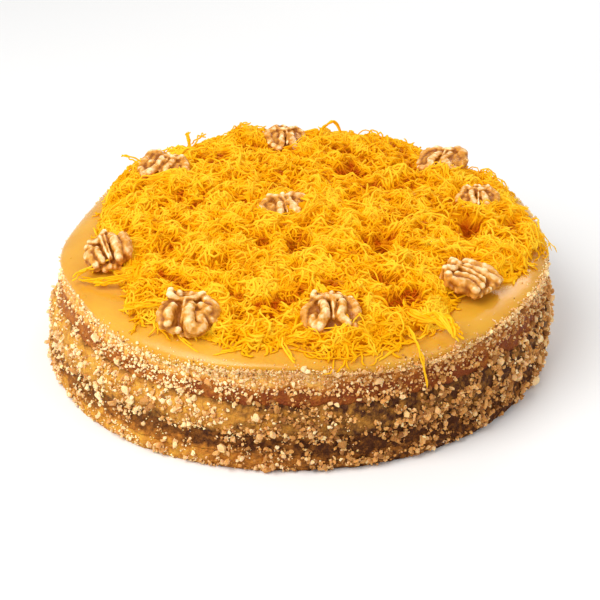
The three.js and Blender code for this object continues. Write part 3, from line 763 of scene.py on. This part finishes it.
BED_STEPS, BED_ROWS = 300, 70
BED_INSET = 3                    # how far its edge lies inside the heap's
BED_SUNK = 0.8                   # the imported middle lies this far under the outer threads
BARE_DEPTH = 0.3                 # where the heap is thinner than this, the bed dips into the glaze
BED_LUMPS = [(2.2, 0.8, 31)]                                       # size, mm, seed
angle = full_turn(BED_STEPS)
outline = heap_reach(angle) - BED_INSET
bed_rings = [polar(outline * reach, angle, GLAZE_TOP + 0.05) for reach in (0.5, 1)]
for reach in np.concatenate([[0.995], np.linspace(0.98, 0.02, BED_ROWS)]):
    ring = polar(outline * reach, angle, 0)
    packed = read_map(heap_map, ring[:, 0], ring[:, 1])
    level = np.maximum(heap_height(ring[:, 0], ring[:, 1]) - BED_SUNK, GLAZE_TOP + 0.1)
    ring[:, 2] = np.where(packed < BARE_DEPTH, GLAZE_TOP - BED_SUNK, level)
    bed_rings.append(ring)
bed_points, bed_faces = turned(np.array(bed_rings))
bed_points[:, 2] += uneven(bed_points, BED_LUMPS) * (bed_points[:, 2] > GLAZE_TOP + BED_SUNK)
# the threads' colours from dark to light; the dark end is used for painted shade in creases and under the
# threads
thread_colours = ((0.38, 0.060, 0.0003), (0.73, 0.335, 0.001), (0.78, 0.48, 0.02))
packed_threads = food_material("Packed egg threads", thread_colours, 500, 0.5, (0.4, 0.6),
                               (1100, 700), 0.8, specular=0.03, inner_light=0.33)
# the bed lies under the threads: painted shade, darker than they are and darker still in the creases
bed_painted_shade = 0.45 * read_map(painted_crease_shade_map, bed_points[:, 0], bed_points[:, 1])
bed = add_piece("thread_bed", bed_points, bed_faces, packed_threads, bed_painted_shade)
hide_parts("egg_threads")


# ---------------------------------------------------------------- egg threads
# The threads that show: curly, tangled and a millimetre thick. Of each, a stretch of one or two
# centimetres lies on top, in small locks that cling together and lie over and under one another.
WALNUT_HALVES = 9
WALNUT_BOXES = [[np.array(corner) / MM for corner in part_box(f"walnut_half_{number + 1}")]
                for number in range(WALNUT_HALVES)]
POCKET_WIDE, POCKET_LONG = 0.95, 0.98    # the pockets in the heap, as shares of a half's box
POCKET_SHORT, FAR_SIDE = 0.8, 30         # shorter in front of the halves beyond this y, in mm


def spread_from(x, y, middle_x, middle_y, half_x, half_y, rim):
    """Moves points inside an oval out to near its edge: rim is the share where they start."""
    away = np.maximum(np.hypot((x - middle_x) / half_x, (y - middle_y) / half_y), 0.05)
    stretch = np.where(away < 1, (rim + (1 - rim) * away) / away, 1)
    return middle_x + (x - middle_x) * stretch, middle_y + (y - middle_y) * stretch


def push_aside(x, y):
    """Moves points out of the walnut halves' pockets and the bare spots of the glaze."""
    for low, high in WALNUT_BOXES:
        middle, half = (low + high) / 2, (high - low) / 2
        leaning = (y < middle[1]) & (middle[1] > FAR_SIDE)
        half_y = half[1] * np.where(leaning, POCKET_SHORT, POCKET_LONG)
        x, y = spread_from(x, y, middle[0], middle[1], half[0] * POCKET_WIDE, half_y, 0.86)
    for middle_x, middle_y, radius in HEAP_HOLES:
        x, y = spread_from(x, y, middle_x, middle_y, radius, radius, 0.8)
    return x, y


STIFFNESS = 7                    # rounds of smoothing along a thread


def bridged(ground):
    """Heights under stiff threads, which rest on what is high and span what is low."""
    level = ground
    for _ in range(STIFFNESS):
        beside = np.pad(level, ((0, 0), (0, 0), (1, 1)), mode="edge")
        level = (beside[..., :-2] + 2 * level + beside[..., 2:]) / 4
    return np.maximum(level, ground - BED_SUNK / 2)


def locks(draw, count, strands, steps, length, spread, lift, bow, edge, free, past):
    """Paths of curly threads in small locks: (threads, steps, 3). A free end stands up, edge is
    where they start as shares of the heap's area, and past is how far out they may go."""
    def each(low, high):
        return draw.uniform(low, high, (count, 1, 1))

    def own(size):
        return draw.normal(0, size, (count, strands, 1))

    start = each(0, 2 * np.pi)
    reach = heap_reach(start) * np.sqrt(each(*edge))
    along = np.linspace(0, 1, steps)[None, None, :]
    size = each(*length) * (1 + own(0.15))
    bend = each(-0.2, 0.2) + own(0.1)
    curl = (each(0.08, 0.30) + own(0.08)) * np.sin(2 * np.pi * along * each(0.8, 2.2) + each(0, 6.3))
    fine = own(0.38) * np.sin(2 * np.pi * along * (2.2 + own(0.8)) + own(3))
    heading = each(0, 2 * np.pi) + own(0.75) + np.cumsum((bend + curl + fine) * size / steps, axis=2)
    step = size / (steps - 1)
    x = reach * np.cos(start) + own(spread) + np.cumsum(np.cos(heading) * step, axis=2)
    y = reach * np.sin(start) + own(spread) + np.cumsum(np.sin(heading) * step, axis=2)
    x, y = push_aside(x, y)
    angle, radius = np.arctan2(y, x), np.hypot(x, y)
    limit = heap_reach(angle) - 4 + past * each(0, 1) ** 2 + own(0.8)
    limit = np.minimum(limit, side_radius(SKIRT_HEIGHT, angle) - 2)
    held = np.where(radius > limit, limit + 0.5 * (radius - limit), radius)
    x, y = held * np.cos(angle), held * np.sin(angle)
    arch = along ** 1.5 if free else np.sin(np.pi * along)
    tucked = (1 - along) ** 6 if free else np.abs(2 * along - 1) ** 6
    rise = (each(*lift) + own(0.4) + (each(*bow) + own(0.5)) * arch
            + 0.4 * np.sin(2 * np.pi * along * each(1.5, 3) + own(2)) - 1.4 * tucked)
    ground = bridged(heap_height(x, y))
    z = np.maximum(ground + rise, glaze_height(x, y) + 0.6)
    return np.stack([x, y, z], -1).reshape(count * strands, steps, 3)


def thread_tubes(paths, widths, sides):
    """Joined tubes along the paths, narrower at their ends."""
    count, steps = paths.shape[:2]
    ahead = np.gradient(paths, axis=1)
    ahead /= np.maximum(np.linalg.norm(ahead, axis=2, keepdims=True), 1e-6)
    across = np.cross(ahead, [0.05, 0.03, 1.0])
    across /= np.maximum(np.linalg.norm(across, axis=2, keepdims=True), 1e-6)
    above = np.cross(across, ahead)
    taper = np.ones(steps)
    taper[0] = taper[-1] = 0.4
    half = (widths[:, None] * taper[None, :] / 2)[..., None, None]
    turn = 2 * np.pi * np.arange(sides) / sides
    ring = across[..., None, :] * np.cos(turn)[:, None] + above[..., None, :] * np.sin(turn)[:, None]
    points = (paths[..., None, :] + ring * half).reshape(-1, 3)
    here = np.arange(count * steps * sides).reshape(count, steps, sides)
    after = np.roll(here, -1, axis=2)
    walls = np.stack([here[:, :-1], after[:, :-1], after[:, 1:], here[:, 1:]], -1).reshape(-1, 4)
    ends = np.concatenate([here[:, 0, ::-1], here[:, -1]])
    return points, [walls, ends]


# painted shade in the creases, patches of tint, and painted light on threads that rise above the heap
CREASE_PAINTED_SHADE, PATCH_TINT, RISE_PAINTED_LIGHT = 0.95, 0.42, 0.2
EDGE_FROM, EDGE_LEAST = 0.88, 0.55       # towards the heap's edge no thread is darker than this


def thread_shades(draw, paths, sides, base, spread):
    """Painted light and shade: lighter on the clumps and where a thread rises above the heap, deep orange
    in the creases; and each thread its own tint.
    """
    count, steps = paths.shape[:2]
    x, y, z = paths[..., 0], paths[..., 1], paths[..., 2]
    over = np.clip((z - heap_height(x, y)) / 2.5, -1, 1)
    tint = base + draw.normal(0, spread, (count, 1)) + RISE_PAINTED_LIGHT * over
    tint = tint + CREASE_PAINTED_SHADE * (read_map(painted_crease_shade_map, x, y) - 0.6)
    tint = tint + PATCH_TINT * read_map(patch_map, x, y)
    reach = np.hypot(x, y) / heap_reach(np.arctan2(y, x))
    outer = np.clip((reach - EDGE_FROM) / (1 - EDGE_FROM), 0, 1)
    tint = tint + outer * np.maximum(EDGE_LEAST - tint, 0)
    return np.repeat(np.clip(tint, 0, 1).ravel(), sides)


egg_thread = food_material("Egg threads", thread_colours, 300, 0.3, (0.4, 0.6), (900, 500), 0.1,
                           specular=0.05, inner_light=0.33)
THREAD_KINDS = {
    # locks, threads in each, steps, sides, then in mm their length, spread, lift and bow
    # where they start, their width, tint, whether one end stands free, how far out they may go
    # the tint is lower for the kinds that lie deeper: painted shade under the threads above them
    "threads_matted": (110, 11, 8, 3, (9, 18), 3.2, (-0.9, -0.1), (-0.2, 0.5),
                       (0, 1), (1.2, 1.7), 0.3, False, 3),
    "threads_tangled_low": (330, 10, 8, 3, (8, 17), 3.0, (-0.6, 0.2), (0, 0.8),
                            (0, 1), (1.0, 1.6), 0.41, False, 4),
    "threads_tangled_high": (330, 10, 8, 3, (8, 17), 2.8, (-0.4, 0.5), (0.1, 1.1),
                             (0, 1), (0.9, 1.6), 0.51, False, 5),
    "threads_on_top": (520, 5, 9, 4, (7, 18), 2.2, (-0.1, 0.9), (0.3, 1.8),
                       (0, 1), (0.8, 1.5), 0.59, False, 6),
    "threads_standing": (530, 2, 8, 4, (5, 12), 1.2, (0, 0.8), (0.8, 3.6),
                         (0, 1), (0.7, 1.3), 0.62, True, 3),
    "threads_at_edge": (160, 5, 9, 3, (8, 18), 2.8, (0, 1.4), (0, 1.2),
                        (0.85, 1.0), (0.75, 1.3), 0.55, False, 8),
    "threads_wispy": (160, 2, 10, 4, (9, 18), 1.6, (0.6, 2.2), (1.5, 4.5),
                      (0, 1.0), (0.6, 1.0), 0.64, False, 7),
}
for number, (kind, how) in enumerate(THREAD_KINDS.items()):
    count, strands, steps, sides, length, spread, lift, bow, edge, width, tint, free, past = how
    draw = np.random.default_rng(700 + number)
    paths = locks(draw, count, strands, steps, length, spread, lift, bow, edge, free, past)
    points, faces = thread_tubes(paths, draw.uniform(*width, len(paths)), sides)
    shades = thread_shades(draw, paths, sides, tint, 0.05)
    threads = add_piece(kind, points, faces, egg_thread, shades)


# ---------------------------------------------------------------- loose egg threads
# Threads and small bundles that have come away from the heap: an arch and a stub at the back, a
# thick rope at the right, one that hangs down the side, flat strays and tails on the glaze, loose
# ends in the air, and bundles that lie across the walnut halves.
ARCH = [(11, 90, 60), (12, 92, 70), (17, 92, 75.3), (22, 93, 72), (24, 92, 60)]
STUB = [(-61, 79, 60), (-62, 80, 69), (-63, 82, 72), (-61, 83, 74)]
ROPE = [(49, -92, 62), (56, -97, 63.5), (63, -98, 64), (69, -103, 61.5), (71.5, -108, 58.6)]
HANGING = [                       # angle in degrees, mm out from the side, height
    (-64.5, -14, 62), (-64.5, -8, 60.5), (-64.8, -0.5, 58.2), (-64.2, 2.9, 51), (-63.6, 2.4, 43),
    (-63, 2.6, 33)]
STRAYS = [                        # angle in degrees, how far out it lies, sweep in degrees
    (-168, 112, 14), (-150, 112, -14), (-124, 121, 12), (-100, 121, -9), (-95, 121, 4), (-78, 120, 5),
    (146, 116, -8)]
WISPS = [                         # loose ends and tails that stand away from the heap
    [(-82, 50, 67), (-90, 52, 72), (-97, 53, 73)], [(-36, 99, 66), (-33, 101, 70), (-28, 101, 71)],
    [(-60, 82, 66), (-56, 85, 69.5), (-51, 86, 70)], [(104, 6, 64), (112, 4, 67), (117, 0, 68)],
    [(-92, -44, 63), (-104, -50, 61), (-110, -56, 58.5)],
    [(-80, -57, 63), (-90, -59, 61), (-99, -58, 59.5), (-107, -52, 58)],
    [(-82, -60, 62), (-92, -61, 60), (-100, -59, 58.5)]]
ACROSS = [                        # bundles that cross the walnut halves, from and to, in mm
    [(-84, -86, 62), (-72, -88, 64.5), (-61, -90, 67.0), (-53, -91, 67.5)],
    [(-38, -86, 62), (-40, -88, 66), (-44, -92, 68)],
    [(18, -112, 61), (20, -107, 65.5), (21, -102, 66.5), (20, -97, 63)],
    [(-3, -12, 69), (3, -9, 71.5), (8, -3, 72), (14, 2, 69)],
    [(-90, 36, 64), (-82, 35, 68.5), (-72, 36, 69.5), (-62, 38, 66)]]


CURVE_POINTS = 400
BUNDLE_STEPS, BUNDLE_SIDES = 24, 6
BUNDLE_TWIST = 5                  # radians from end to end
BUNDLE_SHAKE = 0.7                # mm


def smooth_path(corners, steps):
    """A smooth curve through the corners (Catmull-Rom), with that many points."""
    corners = np.array(corners, float)
    padded = np.concatenate([[2 * corners[0] - corners[1]], corners, [2 * corners[-1] - corners[-2]]])
    at = np.linspace(0, len(corners) - 1.0001, steps)
    i = at.astype(int)
    t = (at - i)[:, None]
    a, b, c, d = [padded[i + k] for k in range(4)]
    return 0.5 * (2 * b + (c - a) * t + (2 * a - 5 * b + 4 * c - d) * t ** 2
                  + (3 * b - a - 3 * c + d) * t ** 3)


def bundle(draw, corners, strands, apart):
    """Threads that follow a curve side by side, twisted round it, with ends that aren't even."""
    curve = smooth_path(corners, CURVE_POINTS)
    along = np.linspace(0, 1, BUNDLE_STEPS)
    first, last = draw.uniform(0, 0.1, (strands, 1)), draw.uniform(0.8, 1, (strands, 1))
    middle = curve[((first + (last - first) * along) * (CURVE_POINTS - 1)).astype(int)]
    turn = (2 * np.pi * np.arange(strands) / strands)[:, None] + BUNDLE_TWIST * along
    turn = turn + draw.normal(0, 0.4, (strands, 1))
    away = apart * draw.uniform(0.5, 1.1, (strands, 1))
    offset = np.stack([away * np.cos(turn), 0.4 * away * np.sin(turn), away * np.sin(turn)], -1)
    shake = draw.normal(0, BUNDLE_SHAKE, (strands, BUNDLE_STEPS, 3))
    for _ in range(3):
        shake = (np.roll(shake, 1, axis=1) + 2 * shake + np.roll(shake, -1, axis=1)) / 4
    return middle + offset + shake * (np.sin(np.pi * along) ** 0.5)[:, None]


def stray(degrees, reach, sweep):
    """Corners of a path that leaves the heap's edge and comes down onto the glaze."""
    start = math.radians(degrees)
    inner = heap_reach(np.array(start)) - 8
    corners = []
    for share in (0, 0.3, 0.6, 0.8, 1):
        angle = start + math.radians(sweep) * share ** 2
        radius = inner + (reach - inner) * share
        x, y = radius * math.cos(angle), radius * math.sin(angle)
        level = float(glaze_height(np.array(x), np.array(y)))
        corners.append((x, y, level + 0.6 + 3.5 * (1 - share) ** 1.5))
    return corners


hanging = []
for degrees, out, height in HANGING:
    angle = np.array(math.radians(degrees))
    radius = side_radius(np.array(min(height, SKIRT_HEIGHT)), angle) + out
    hanging.append((float(radius * np.cos(angle)), float(radius * np.sin(angle)), height))
draw = np.random.default_rng(760)
bundles = [                       # path, threads, mm apart, width
    (ARCH, 3, 0.5, 0.9), (STUB, 5, 0.8, 0.9), (ROPE, 14, 2.4, 1.2), (hanging, 2, 0.45, 1.0)]
bundles += [(stray(*place), 3, 0.7, 0.9) for place in STRAYS]
bundles += [(corners, 4, 1.3, 0.85) for corners in ACROSS]
bundles += [(corners, 3, 1.0, 0.8) for corners in WISPS]
paths = np.concatenate([bundle(draw, corners, strands, apart) for corners, strands, apart, _ in bundles])
widths = np.concatenate([np.full(strands, width) for _, strands, _, width in bundles])
points, faces = thread_tubes(paths, widths * draw.uniform(0.8, 1.15, len(widths)), BUNDLE_SIDES)
tint = np.clip(draw.normal(0.68, 0.12, len(paths)), 0, 1)
tint = np.repeat(tint, BUNDLE_STEPS * BUNDLE_SIDES)
strays = add_piece("loose_threads", points, faces, egg_thread, tint)


# ---------------------------------------------------------------- walnut halves
# Nine shelled walnut halves, inner side up, pressed into the heap. Each side is a curled lobe
# round a hollow; a thin wall stands in the groove between them, with a bridge at its far end.
WALNUT_POSES = [                 # degrees: the way the groove runs, lean of the far end, roll
    (96, 14, 6), (72, 12, 8), (106, 6, -8), (92, 14, 6), (90, 14, -4), (145, 4, 10), (88, 16, 0),
    (66, 12, -8), (104, 8, 0)]
# the common plan of a half, 28 mm across and 13 mm high: folds of one lobe, the bridge, the wall
RIDGE = [(3.9, 7.0, 8.6), (3.5, 2.0, 10.0), (3.6, -3.5, 10.0), (4.8, -8.4, 9.0), (7.6, -11.0, 7.8),
         (10.4, -8.8, 7.2)]
FLANK = [(12.0, -5.0, 6.6), (12.6, 0.0, 6.8), (12.0, 4.8, 7.2), (9.4, 8.8, 7.8), (6.0, 10.4, 8.2)]
RIB = [(8.4, 5.2, 7.6), (7.4, 0.8, 8.3), (8.6, -4.4, 7.5)]
BRIDGE = [(-7.0, 10.2, 11.1), (-4.6, 8.4, 10.6), (-1.6, 7.6, 10.4), (1.8, 7.7, 10.4), (4.8, 8.6, 10.7),
          (7.0, 10.4, 11.1)]
STALK = [(0.2, 7.0, 9.2), (0.4, 1.0, 8.8), (0.1, -6.5, 7.8)]
KERNEL_VOXEL = 0.5
RIM_KNOBS = 30
KERNEL_LOWER = {1: 4.5, 2: 1.5, 7: 4, 8: 3.5, 9: 2}      # mm, halves that are pressed in deeper
# the halves that show best have folds of their own, each with its points and how thick it is
KERNEL_FOLDS = {
    3: {
        "bridge": [(-8.4, 9.6, 10.3), (-5.6, 7.2, 10.2), (-2.6, 7.6, 10.4), (-0.6, 10.0, 10.9),
                   (1.4, 12.6, 11.1)],
        "stalks": [[(-1.6, 8.0, 10.4), (-0.9, 0.0, 9.8), (0.2, -9.5, 8.4)],
                   [(0.8, 8.4, 10.0), (1.0, 0.0, 9.6), (1.6, -8.5, 8.2)]],
        "folds": [([(-5.4, 2.0, 8.8), (-5.0, -4.0, 9.6), (-3.4, -9.4, 8.4)], 1.8),
                  ([(-10.6, 5.4, 8.4), (-8.2, 2.8, 8.6), (-11.0, -0.6, 8.2), (-9.4, -4.6, 8.0),
                    (-7.8, -9.6, 7.4)], 2.0),
                  ([(4.6, 7.0, 10.2), (5.6, 1.6, 10.8), (6.4, -4.4, 10.0), (6.0, -9.8, 8.2)], 2.4),
                  ([(11.2, 7.0, 8.2), (11.6, 0.0, 8.4), (10.8, -6.4, 7.6)], 3.0)]},
    4: {
        "bridge": [(-8.0, 11.6, 11.2), (-8.2, 8.4, 10.8), (-5.4, 6.2, 10.3), (-1.4, 5.6, 10.2),
                   (2.4, 6.4, 10.4), (5.4, 8.8, 10.9), (7.0, 10.2, 11.1)],
        "stalks": [[(-1.2, 4.6, 9.4), (-1.9, -1.0, 9.6), (-2.2, -7.0, 8.4)]],
        "folds": [([(1.6, 2.4, 9.6), (0.9, -3.2, 10.6), (0.8, -8.6, 9.8), (3.4, -12.2, 8.4),
                    (7.0, -10.8, 8.0), (7.0, -7.6, 8.6), (5.4, -3.6, 8.6)], 2.3),
                  ([(-6.6, 1.6, 8.6), (-8.0, -3.0, 8.4), (-8.2, -9.0, 7.8)], 2.1),
                  ([(-11.4, 1.0, 7.2), (-12.0, -3.0, 6.6), (-11.0, -7.6, 6.4)], 1.7),
                  ([(6.4, 2.6, 9.2), (9.6, 0.6, 8.8), (7.8, -2.6, 8.6), (10.8, -5.0, 7.8)], 2.0),
                  ([(8.6, 7.4, 8.8), (11.8, 4.6, 8.0), (12.6, 0.2, 7.0), (11.8, -4.6, 6.2)], 2.2)]},
    5: {
        "bridge": [(-7.2, 11.6, 11.3), (-8.0, 9.4, 11.0), (-5.8, 7.8, 10.6), (-2.2, 7.4, 10.4),
                   (1.6, 7.3, 10.4), (5.2, 7.6, 10.5)],
        "stalks": [[(1.2, 6.6, 9.0), (1.6, 1.0, 9.2), (1.5, -4.6, 8.0)],
                   [(2.6, 6.6, 8.6), (2.3, 1.0, 8.8), (1.9, -4.6, 7.6)]],
        "folds": [([(-3.4, 4.4, 9.6), (-2.8, 0.0, 10.6), (-2.8, -5.0, 10.2), (-5.8, -9.6, 9.0),
                    (-8.6, -7.4, 8.6), (-8.8, -3.6, 8.0)], 2.2),
                  ([(-9.0, 6.2, 7.8), (-11.8, 2.4, 7.6), (-12.2, -2.6, 7.2), (-11.0, -6.4, 7.0)], 2.1),
                  ([(6.2, 3.6, 10.0), (6.0, -0.6, 9.8), (5.0, -4.4, 9.2), (8.2, -8.4, 8.2)], 1.9),
                  ([(9.6, 7.4, 7.4), (12.0, 3.0, 7.2), (12.2, -2.0, 6.4), (11.0, -7.4, 5.8)], 2.3)]},
    6: {
        "bridge": [(-6.8, 10.8, 11.0), (-4.4, 8.6, 10.5), (-1.2, 7.2, 10.3), (2.2, 8.0, 10.4),
                   (3.8, 10.6, 10.9), (3.6, 13.0, 11.1)],
        "stalks": [[(0.6, 6.0, 8.8), (0.8, 0.0, 8.6), (0.6, -8.0, 7.6)]],
        "folds": [([(4.4, 4.6, 9.6), (4.2, -1.0, 10.2), (4.4, -7.0, 9.6), (6.0, -12.4, 8.0)], 2.0),
                  ([(9.6, 7.6, 9.4), (10.0, 1.0, 9.8), (10.2, -6.0, 9.0), (8.8, -11.6, 7.2)], 2.3),
                  ([(-4.8, 4.0, 8.2), (-4.4, -2.0, 8.8), (-5.6, -9.6, 8.0)], 1.9),
                  ([(-10.2, 6.4, 7.2), (-11.2, 0.0, 7.8), (-9.4, -4.4, 8.2), (-10.4, -9.0, 7.0)], 2.1)]},
}


OWN_BODY, COMMON_BODY = 5.0, 5.8         # height of the middle of a lobe's body, in mm


def beads(path, spacing, radii, draw, jitter, tall=None):
    """Balls strung along a smooth path, uneven in size and place: centre and half sizes."""
    run = np.linalg.norm(np.diff(np.array(path, float), axis=0), axis=1).sum()
    centres = smooth_path(path, max(int(run / spacing) + 1, 3))
    centres += draw.normal(0, jitter, centres.shape)
    share = np.linspace(0, 1, len(centres))
    half = np.interp(share, [0, 0.5, 1], radii)[:, None]
    half = half * (1 + draw.normal(0, jitter * 0.3, (len(centres), 1)))
    return np.concatenate([centres, half, half, half if tall is None else 0 * half + tall], axis=1)


def own_folds(draw):
    """Folds of a half that shows less: the common plan, mirrored and varied."""
    folds = []
    for side in (-1, 1):
        mirror = np.array([side, 1, 1])
        for path, thick in ((RIDGE, 2.1), (FLANK, 2.4), (RIB, 1.5)):
            moved = np.array(path) * mirror + draw.normal(0, 0.7, (len(path), 3)) * [1, 1, 0.6]
            folds.append((moved, thick * draw.uniform(0.85, 1.15)))
    bridge = np.array(BRIDGE) + draw.normal(0, 0.5, (len(BRIDGE), 3))
    return {"bridge": bridge, "stalks": [STALK], "folds": folds}


def kernel_beads(draw, plan, full):
    """Balls that make up one half: body, folds, knobs round the rim, groove wall and bridge."""
    groups = [np.array([[0, 0, 4.4, 7.5, 10.5, 3.4], [-7.4, -0.3, full, 5.6, 10.8, 4.3],
                        [7.4, -0.3, full, 5.6, 10.8, 4.3]])]
    for path, thick in plan["folds"]:
        groups.append(beads(path, 0.6, [1.05 * thick, 1.25 * thick, 1.1 * thick], draw, 0.09))
        under = np.array(path) * [0.97, 0.97, 1] - [0, 0, 2.4]
        groups.append(beads(under, 1.0, [1.1 * thick, 1.1 * thick, 1.1 * thick], draw, 0.1))
    turn = full_turn(RIM_KNOBS) + draw.normal(0, 0.06, RIM_KNOBS)
    rim = 4.4 + 4.0 * np.maximum(np.sin(turn), 0) ** 2 + draw.normal(0, 0.9, RIM_KNOBS)
    knobs = np.stack([11.8 * np.cos(turn), 11.6 * np.sin(turn), rim], -1)
    half = draw.uniform(1.3, 2.4, (RIM_KNOBS, 1))
    groups.append(np.concatenate([knobs, half, half, half], axis=1))
    for stalk in plan["stalks"]:
        groups.append(beads(stalk, 0.5, [1.1, 0.9, 0.7], draw, 0.05, tall=2.6))
    bridge = np.array(plan["bridge"])
    bridge = bridge - np.array([0, 0, 0.12]) * np.abs(bridge[:, :1])
    groups.append(beads(bridge, 0.5, [1.6, 1.6, 1.6], draw, 0.05))
    for drop in (1.5, 3.0, 4.5, 6.0):
        groups.append(beads(bridge * [0.95, 1.02, 1] - [0, 0, drop], 0.6, [1.5, 1.5, 1.5], draw, 0.05))
    return np.concatenate(groups)


def welded(points, faces):
    """The union of many closed shapes as one even skin."""
    mesh = bpy.data.meshes.new("welded")
    mesh.from_pydata(points.tolist(), [], faces.tolist())
    shape = bpy.data.objects.new("welded", mesh)
    bpy.context.scene.collection.objects.link(shape)
    remesh = shape.modifiers.new("weld", "REMESH")
    remesh.mode = "VOXEL"
    remesh.voxel_size = KERNEL_VOXEL
    skin = shape.evaluated_get(bpy.context.evaluated_depsgraph_get()).to_mesh()
    corners = np.zeros(len(skin.vertices) * 3)
    skin.vertices.foreach_get("co", corners)
    joined = np.zeros(len(skin.polygons) * 4, np.int32)
    skin.loops.foreach_get("vertex_index", joined)
    bpy.data.objects.remove(shape)
    bpy.data.meshes.remove(mesh)
    return corners.reshape(-1, 3), joined.reshape(-1, 4)


def relaxed(points, quads, rounds):
    """Each point moved towards the middle of its neighbours, a few times."""
    ends = np.concatenate([quads, np.roll(quads, -1, axis=1)], axis=1).reshape(-1, 2, 4)
    first, second = ends[:, 0].ravel(), ends[:, 1].ravel()
    number = np.bincount(first, minlength=len(points))[:, None]
    for _ in range(rounds):
        total = np.stack([np.bincount(first, points[second, i], len(points)) for i in range(3)], -1)
        other = np.stack([np.bincount(second, points[first, i], len(points)) for i in range(3)], -1)
        points = 0.5 * points + 0.25 * (total / number + other / number)
    return points


def outward_of(points, quads):
    """Unit normals at the points."""
    a, b, c, d = [points[quads[:, i]] for i in range(4)]
    normal = np.cross(c - a, d - b)
    total = np.stack([np.bincount(quads.ravel(), np.repeat(normal[:, i], 4), len(points))
                      for i in range(3)], -1)
    return total / np.maximum(np.linalg.norm(total, axis=1, keepdims=True), 1e-9)


def spin(points, lean, roll, turn):
    """Points turned about X, then Y, then Z, by degrees."""
    for degrees, first, second in ((lean, 1, 2), (roll, 2, 0), (turn, 0, 1)):
        c, s = math.cos(math.radians(degrees)), math.sin(math.radians(degrees))
        a, b = points[:, first].copy(), points[:, second].copy()
        points[:, first], points[:, second] = a * c - b * s, a * s + b * c
    return points


kernel_colours = ((0.28, 0.078, 0.005), (0.66, 0.285, 0.036), (0.97, 0.79, 0.46))
kernel_skin = food_material("Walnut kernel", kernel_colours, 420, 0.35, (0.3, 0.5), (700, 420), 0.35,
                            glow=0.2, glow_reach=0.0015, specular=0.25, inner_light=0.1)
ball_corners, ball_faces = round_solid(2)
for number, (turn, lean, roll) in enumerate(WALNUT_POSES):
    draw = np.random.default_rng(900 + number)
    if number + 1 in KERNEL_FOLDS:
        strung = kernel_beads(draw, KERNEL_FOLDS[number + 1], OWN_BODY)
    else:
        strung = kernel_beads(draw, own_folds(draw), COMMON_BODY)
    points = (strung[:, None, :3] + ball_corners[None] * strung[:, None, 3:]).reshape(-1, 3)
    faces = (np.arange(len(strung))[:, None, None] * len(ball_corners) + ball_faces).reshape(-1, 3)
    points, quads = welded(points, faces)
    points = relaxed(points, quads, 3)
    knobs = uneven(points, [(4.4, 0.55, 41 + number), (2.2, 0.15, 61 + number), (1.3, 0.12, 71 + number)])
    points += outward_of(points, quads) * knobs[:, None]
    soft = relaxed(points, quads, 22)
    ridge = ((points - soft) * outward_of(soft, quads)).sum(1)
    height = points[:, 2] / points[:, 2].max()
    points = spin(points, lean, roll, turn - 90)
    low, high = WALNUT_BOXES[number]
    high = high - [0, 0, KERNEL_LOWER.get(number + 1, 0)]
    middle = (points.min(axis=0) + points.max(axis=0)) / 2
    points = (points - middle) * (high - low) / np.ptp(points, axis=0) + (low + high) / 2
    # pale on its ridges, knobs and top, a painted highlight, and dark in its folds, painted shade
    shade = np.clip(0.06 + 1.4 * ridge + 0.38 * height ** 2 + 0.15 * lumps(points, 5, 81), 0, 1)
    kernel = add_piece(f"walnut_kernel_{number + 1}", points, [quads], kernel_skin, shade)
    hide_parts(f"walnut_half_{number + 1}")


# ---------------------------------------------------------------- floor, light and camera
# A plain pale floor under soft studio light: a large key light from the front left, a weak fill
# from the front right and one from behind. The camera looks down on the cake at 32 degrees.
FLOOR_HALF = 6.0                 # metres, as all that follows


def aim(thing, spot):
    thing.rotation_euler = (Vector(spot) - thing.location).to_track_quat("-Z", "Y").to_euler()


def area_light(name, place, spot, size, power, colour=(1, 1, 1)):
    """A round soft light at a place, aimed at a spot on the cake."""
    light = bpy.data.objects.new(name, bpy.data.lights.new(name, "AREA"))
    light.data.shape = "DISK"
    light.data.size = size
    light.data.energy = power
    light.data.color = colour
    light.location = place
    aim(light, spot)
    bpy.context.scene.collection.objects.link(light)


floor_mesh = bpy.data.meshes.new("floor")
floor_corners = [(x * FLOOR_HALF, y * FLOOR_HALF, 0) for x, y in ((-1, -1), (1, -1), (1, 1), (-1, 1))]
floor_mesh.from_pydata(floor_corners, [], [(0, 1, 2, 3)])
floor = bpy.data.objects.new("floor", floor_mesh)
floor_paint = bpy.data.materials.new("Pale floor")
floor_paint.use_nodes = True
floor_shader = floor_paint.node_tree.nodes["Principled BSDF"]
floor_shader.inputs["Base Color"].default_value = (0.86, 0.86, 0.86, 1)
floor_shader.inputs["Roughness"].default_value = 0.9
floor_mesh.materials.append(floor_paint)
bpy.context.scene.collection.objects.link(floor)
floor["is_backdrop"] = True

area_light("key", (-0.50, -0.42, 0.85), (0, 0, 0.04), 0.8, 10.0, (1.0, 0.985, 0.96))
area_light("fill", (0.8, -0.5, 0.8), (0, 0, 0.03), 0.6, 2.0)
area_light("rim", (0.35, 0.9, 0.6), (0, 0, 0.05), 0.5, 2.5)
world = bpy.data.worlds.new("studio")
world.use_nodes = True
sky = world.node_tree.nodes["Background"]
sky.inputs["Color"].default_value = (1, 1, 1, 1)
sky.inputs["Strength"].default_value = 0.55
bpy.context.scene.world = world
bpy.context.scene.view_settings.view_transform = "Standard"

CAMERA_DISTANCE = 0.7651
CAMERA_ELEVATION = math.radians(32)
CAMERA_TARGET = (0, 0, 0.014)
camera = bpy.data.objects.new("camera", bpy.data.cameras.new("camera"))
camera.data.lens = 85.93
camera.location = (0, -CAMERA_DISTANCE * math.cos(CAMERA_ELEVATION),
                   CAMERA_DISTANCE * math.sin(CAMERA_ELEVATION))
aim(camera, CAMERA_TARGET)
bpy.context.scene.collection.objects.link(camera)
bpy.context.scene.camera = camera

low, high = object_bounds()
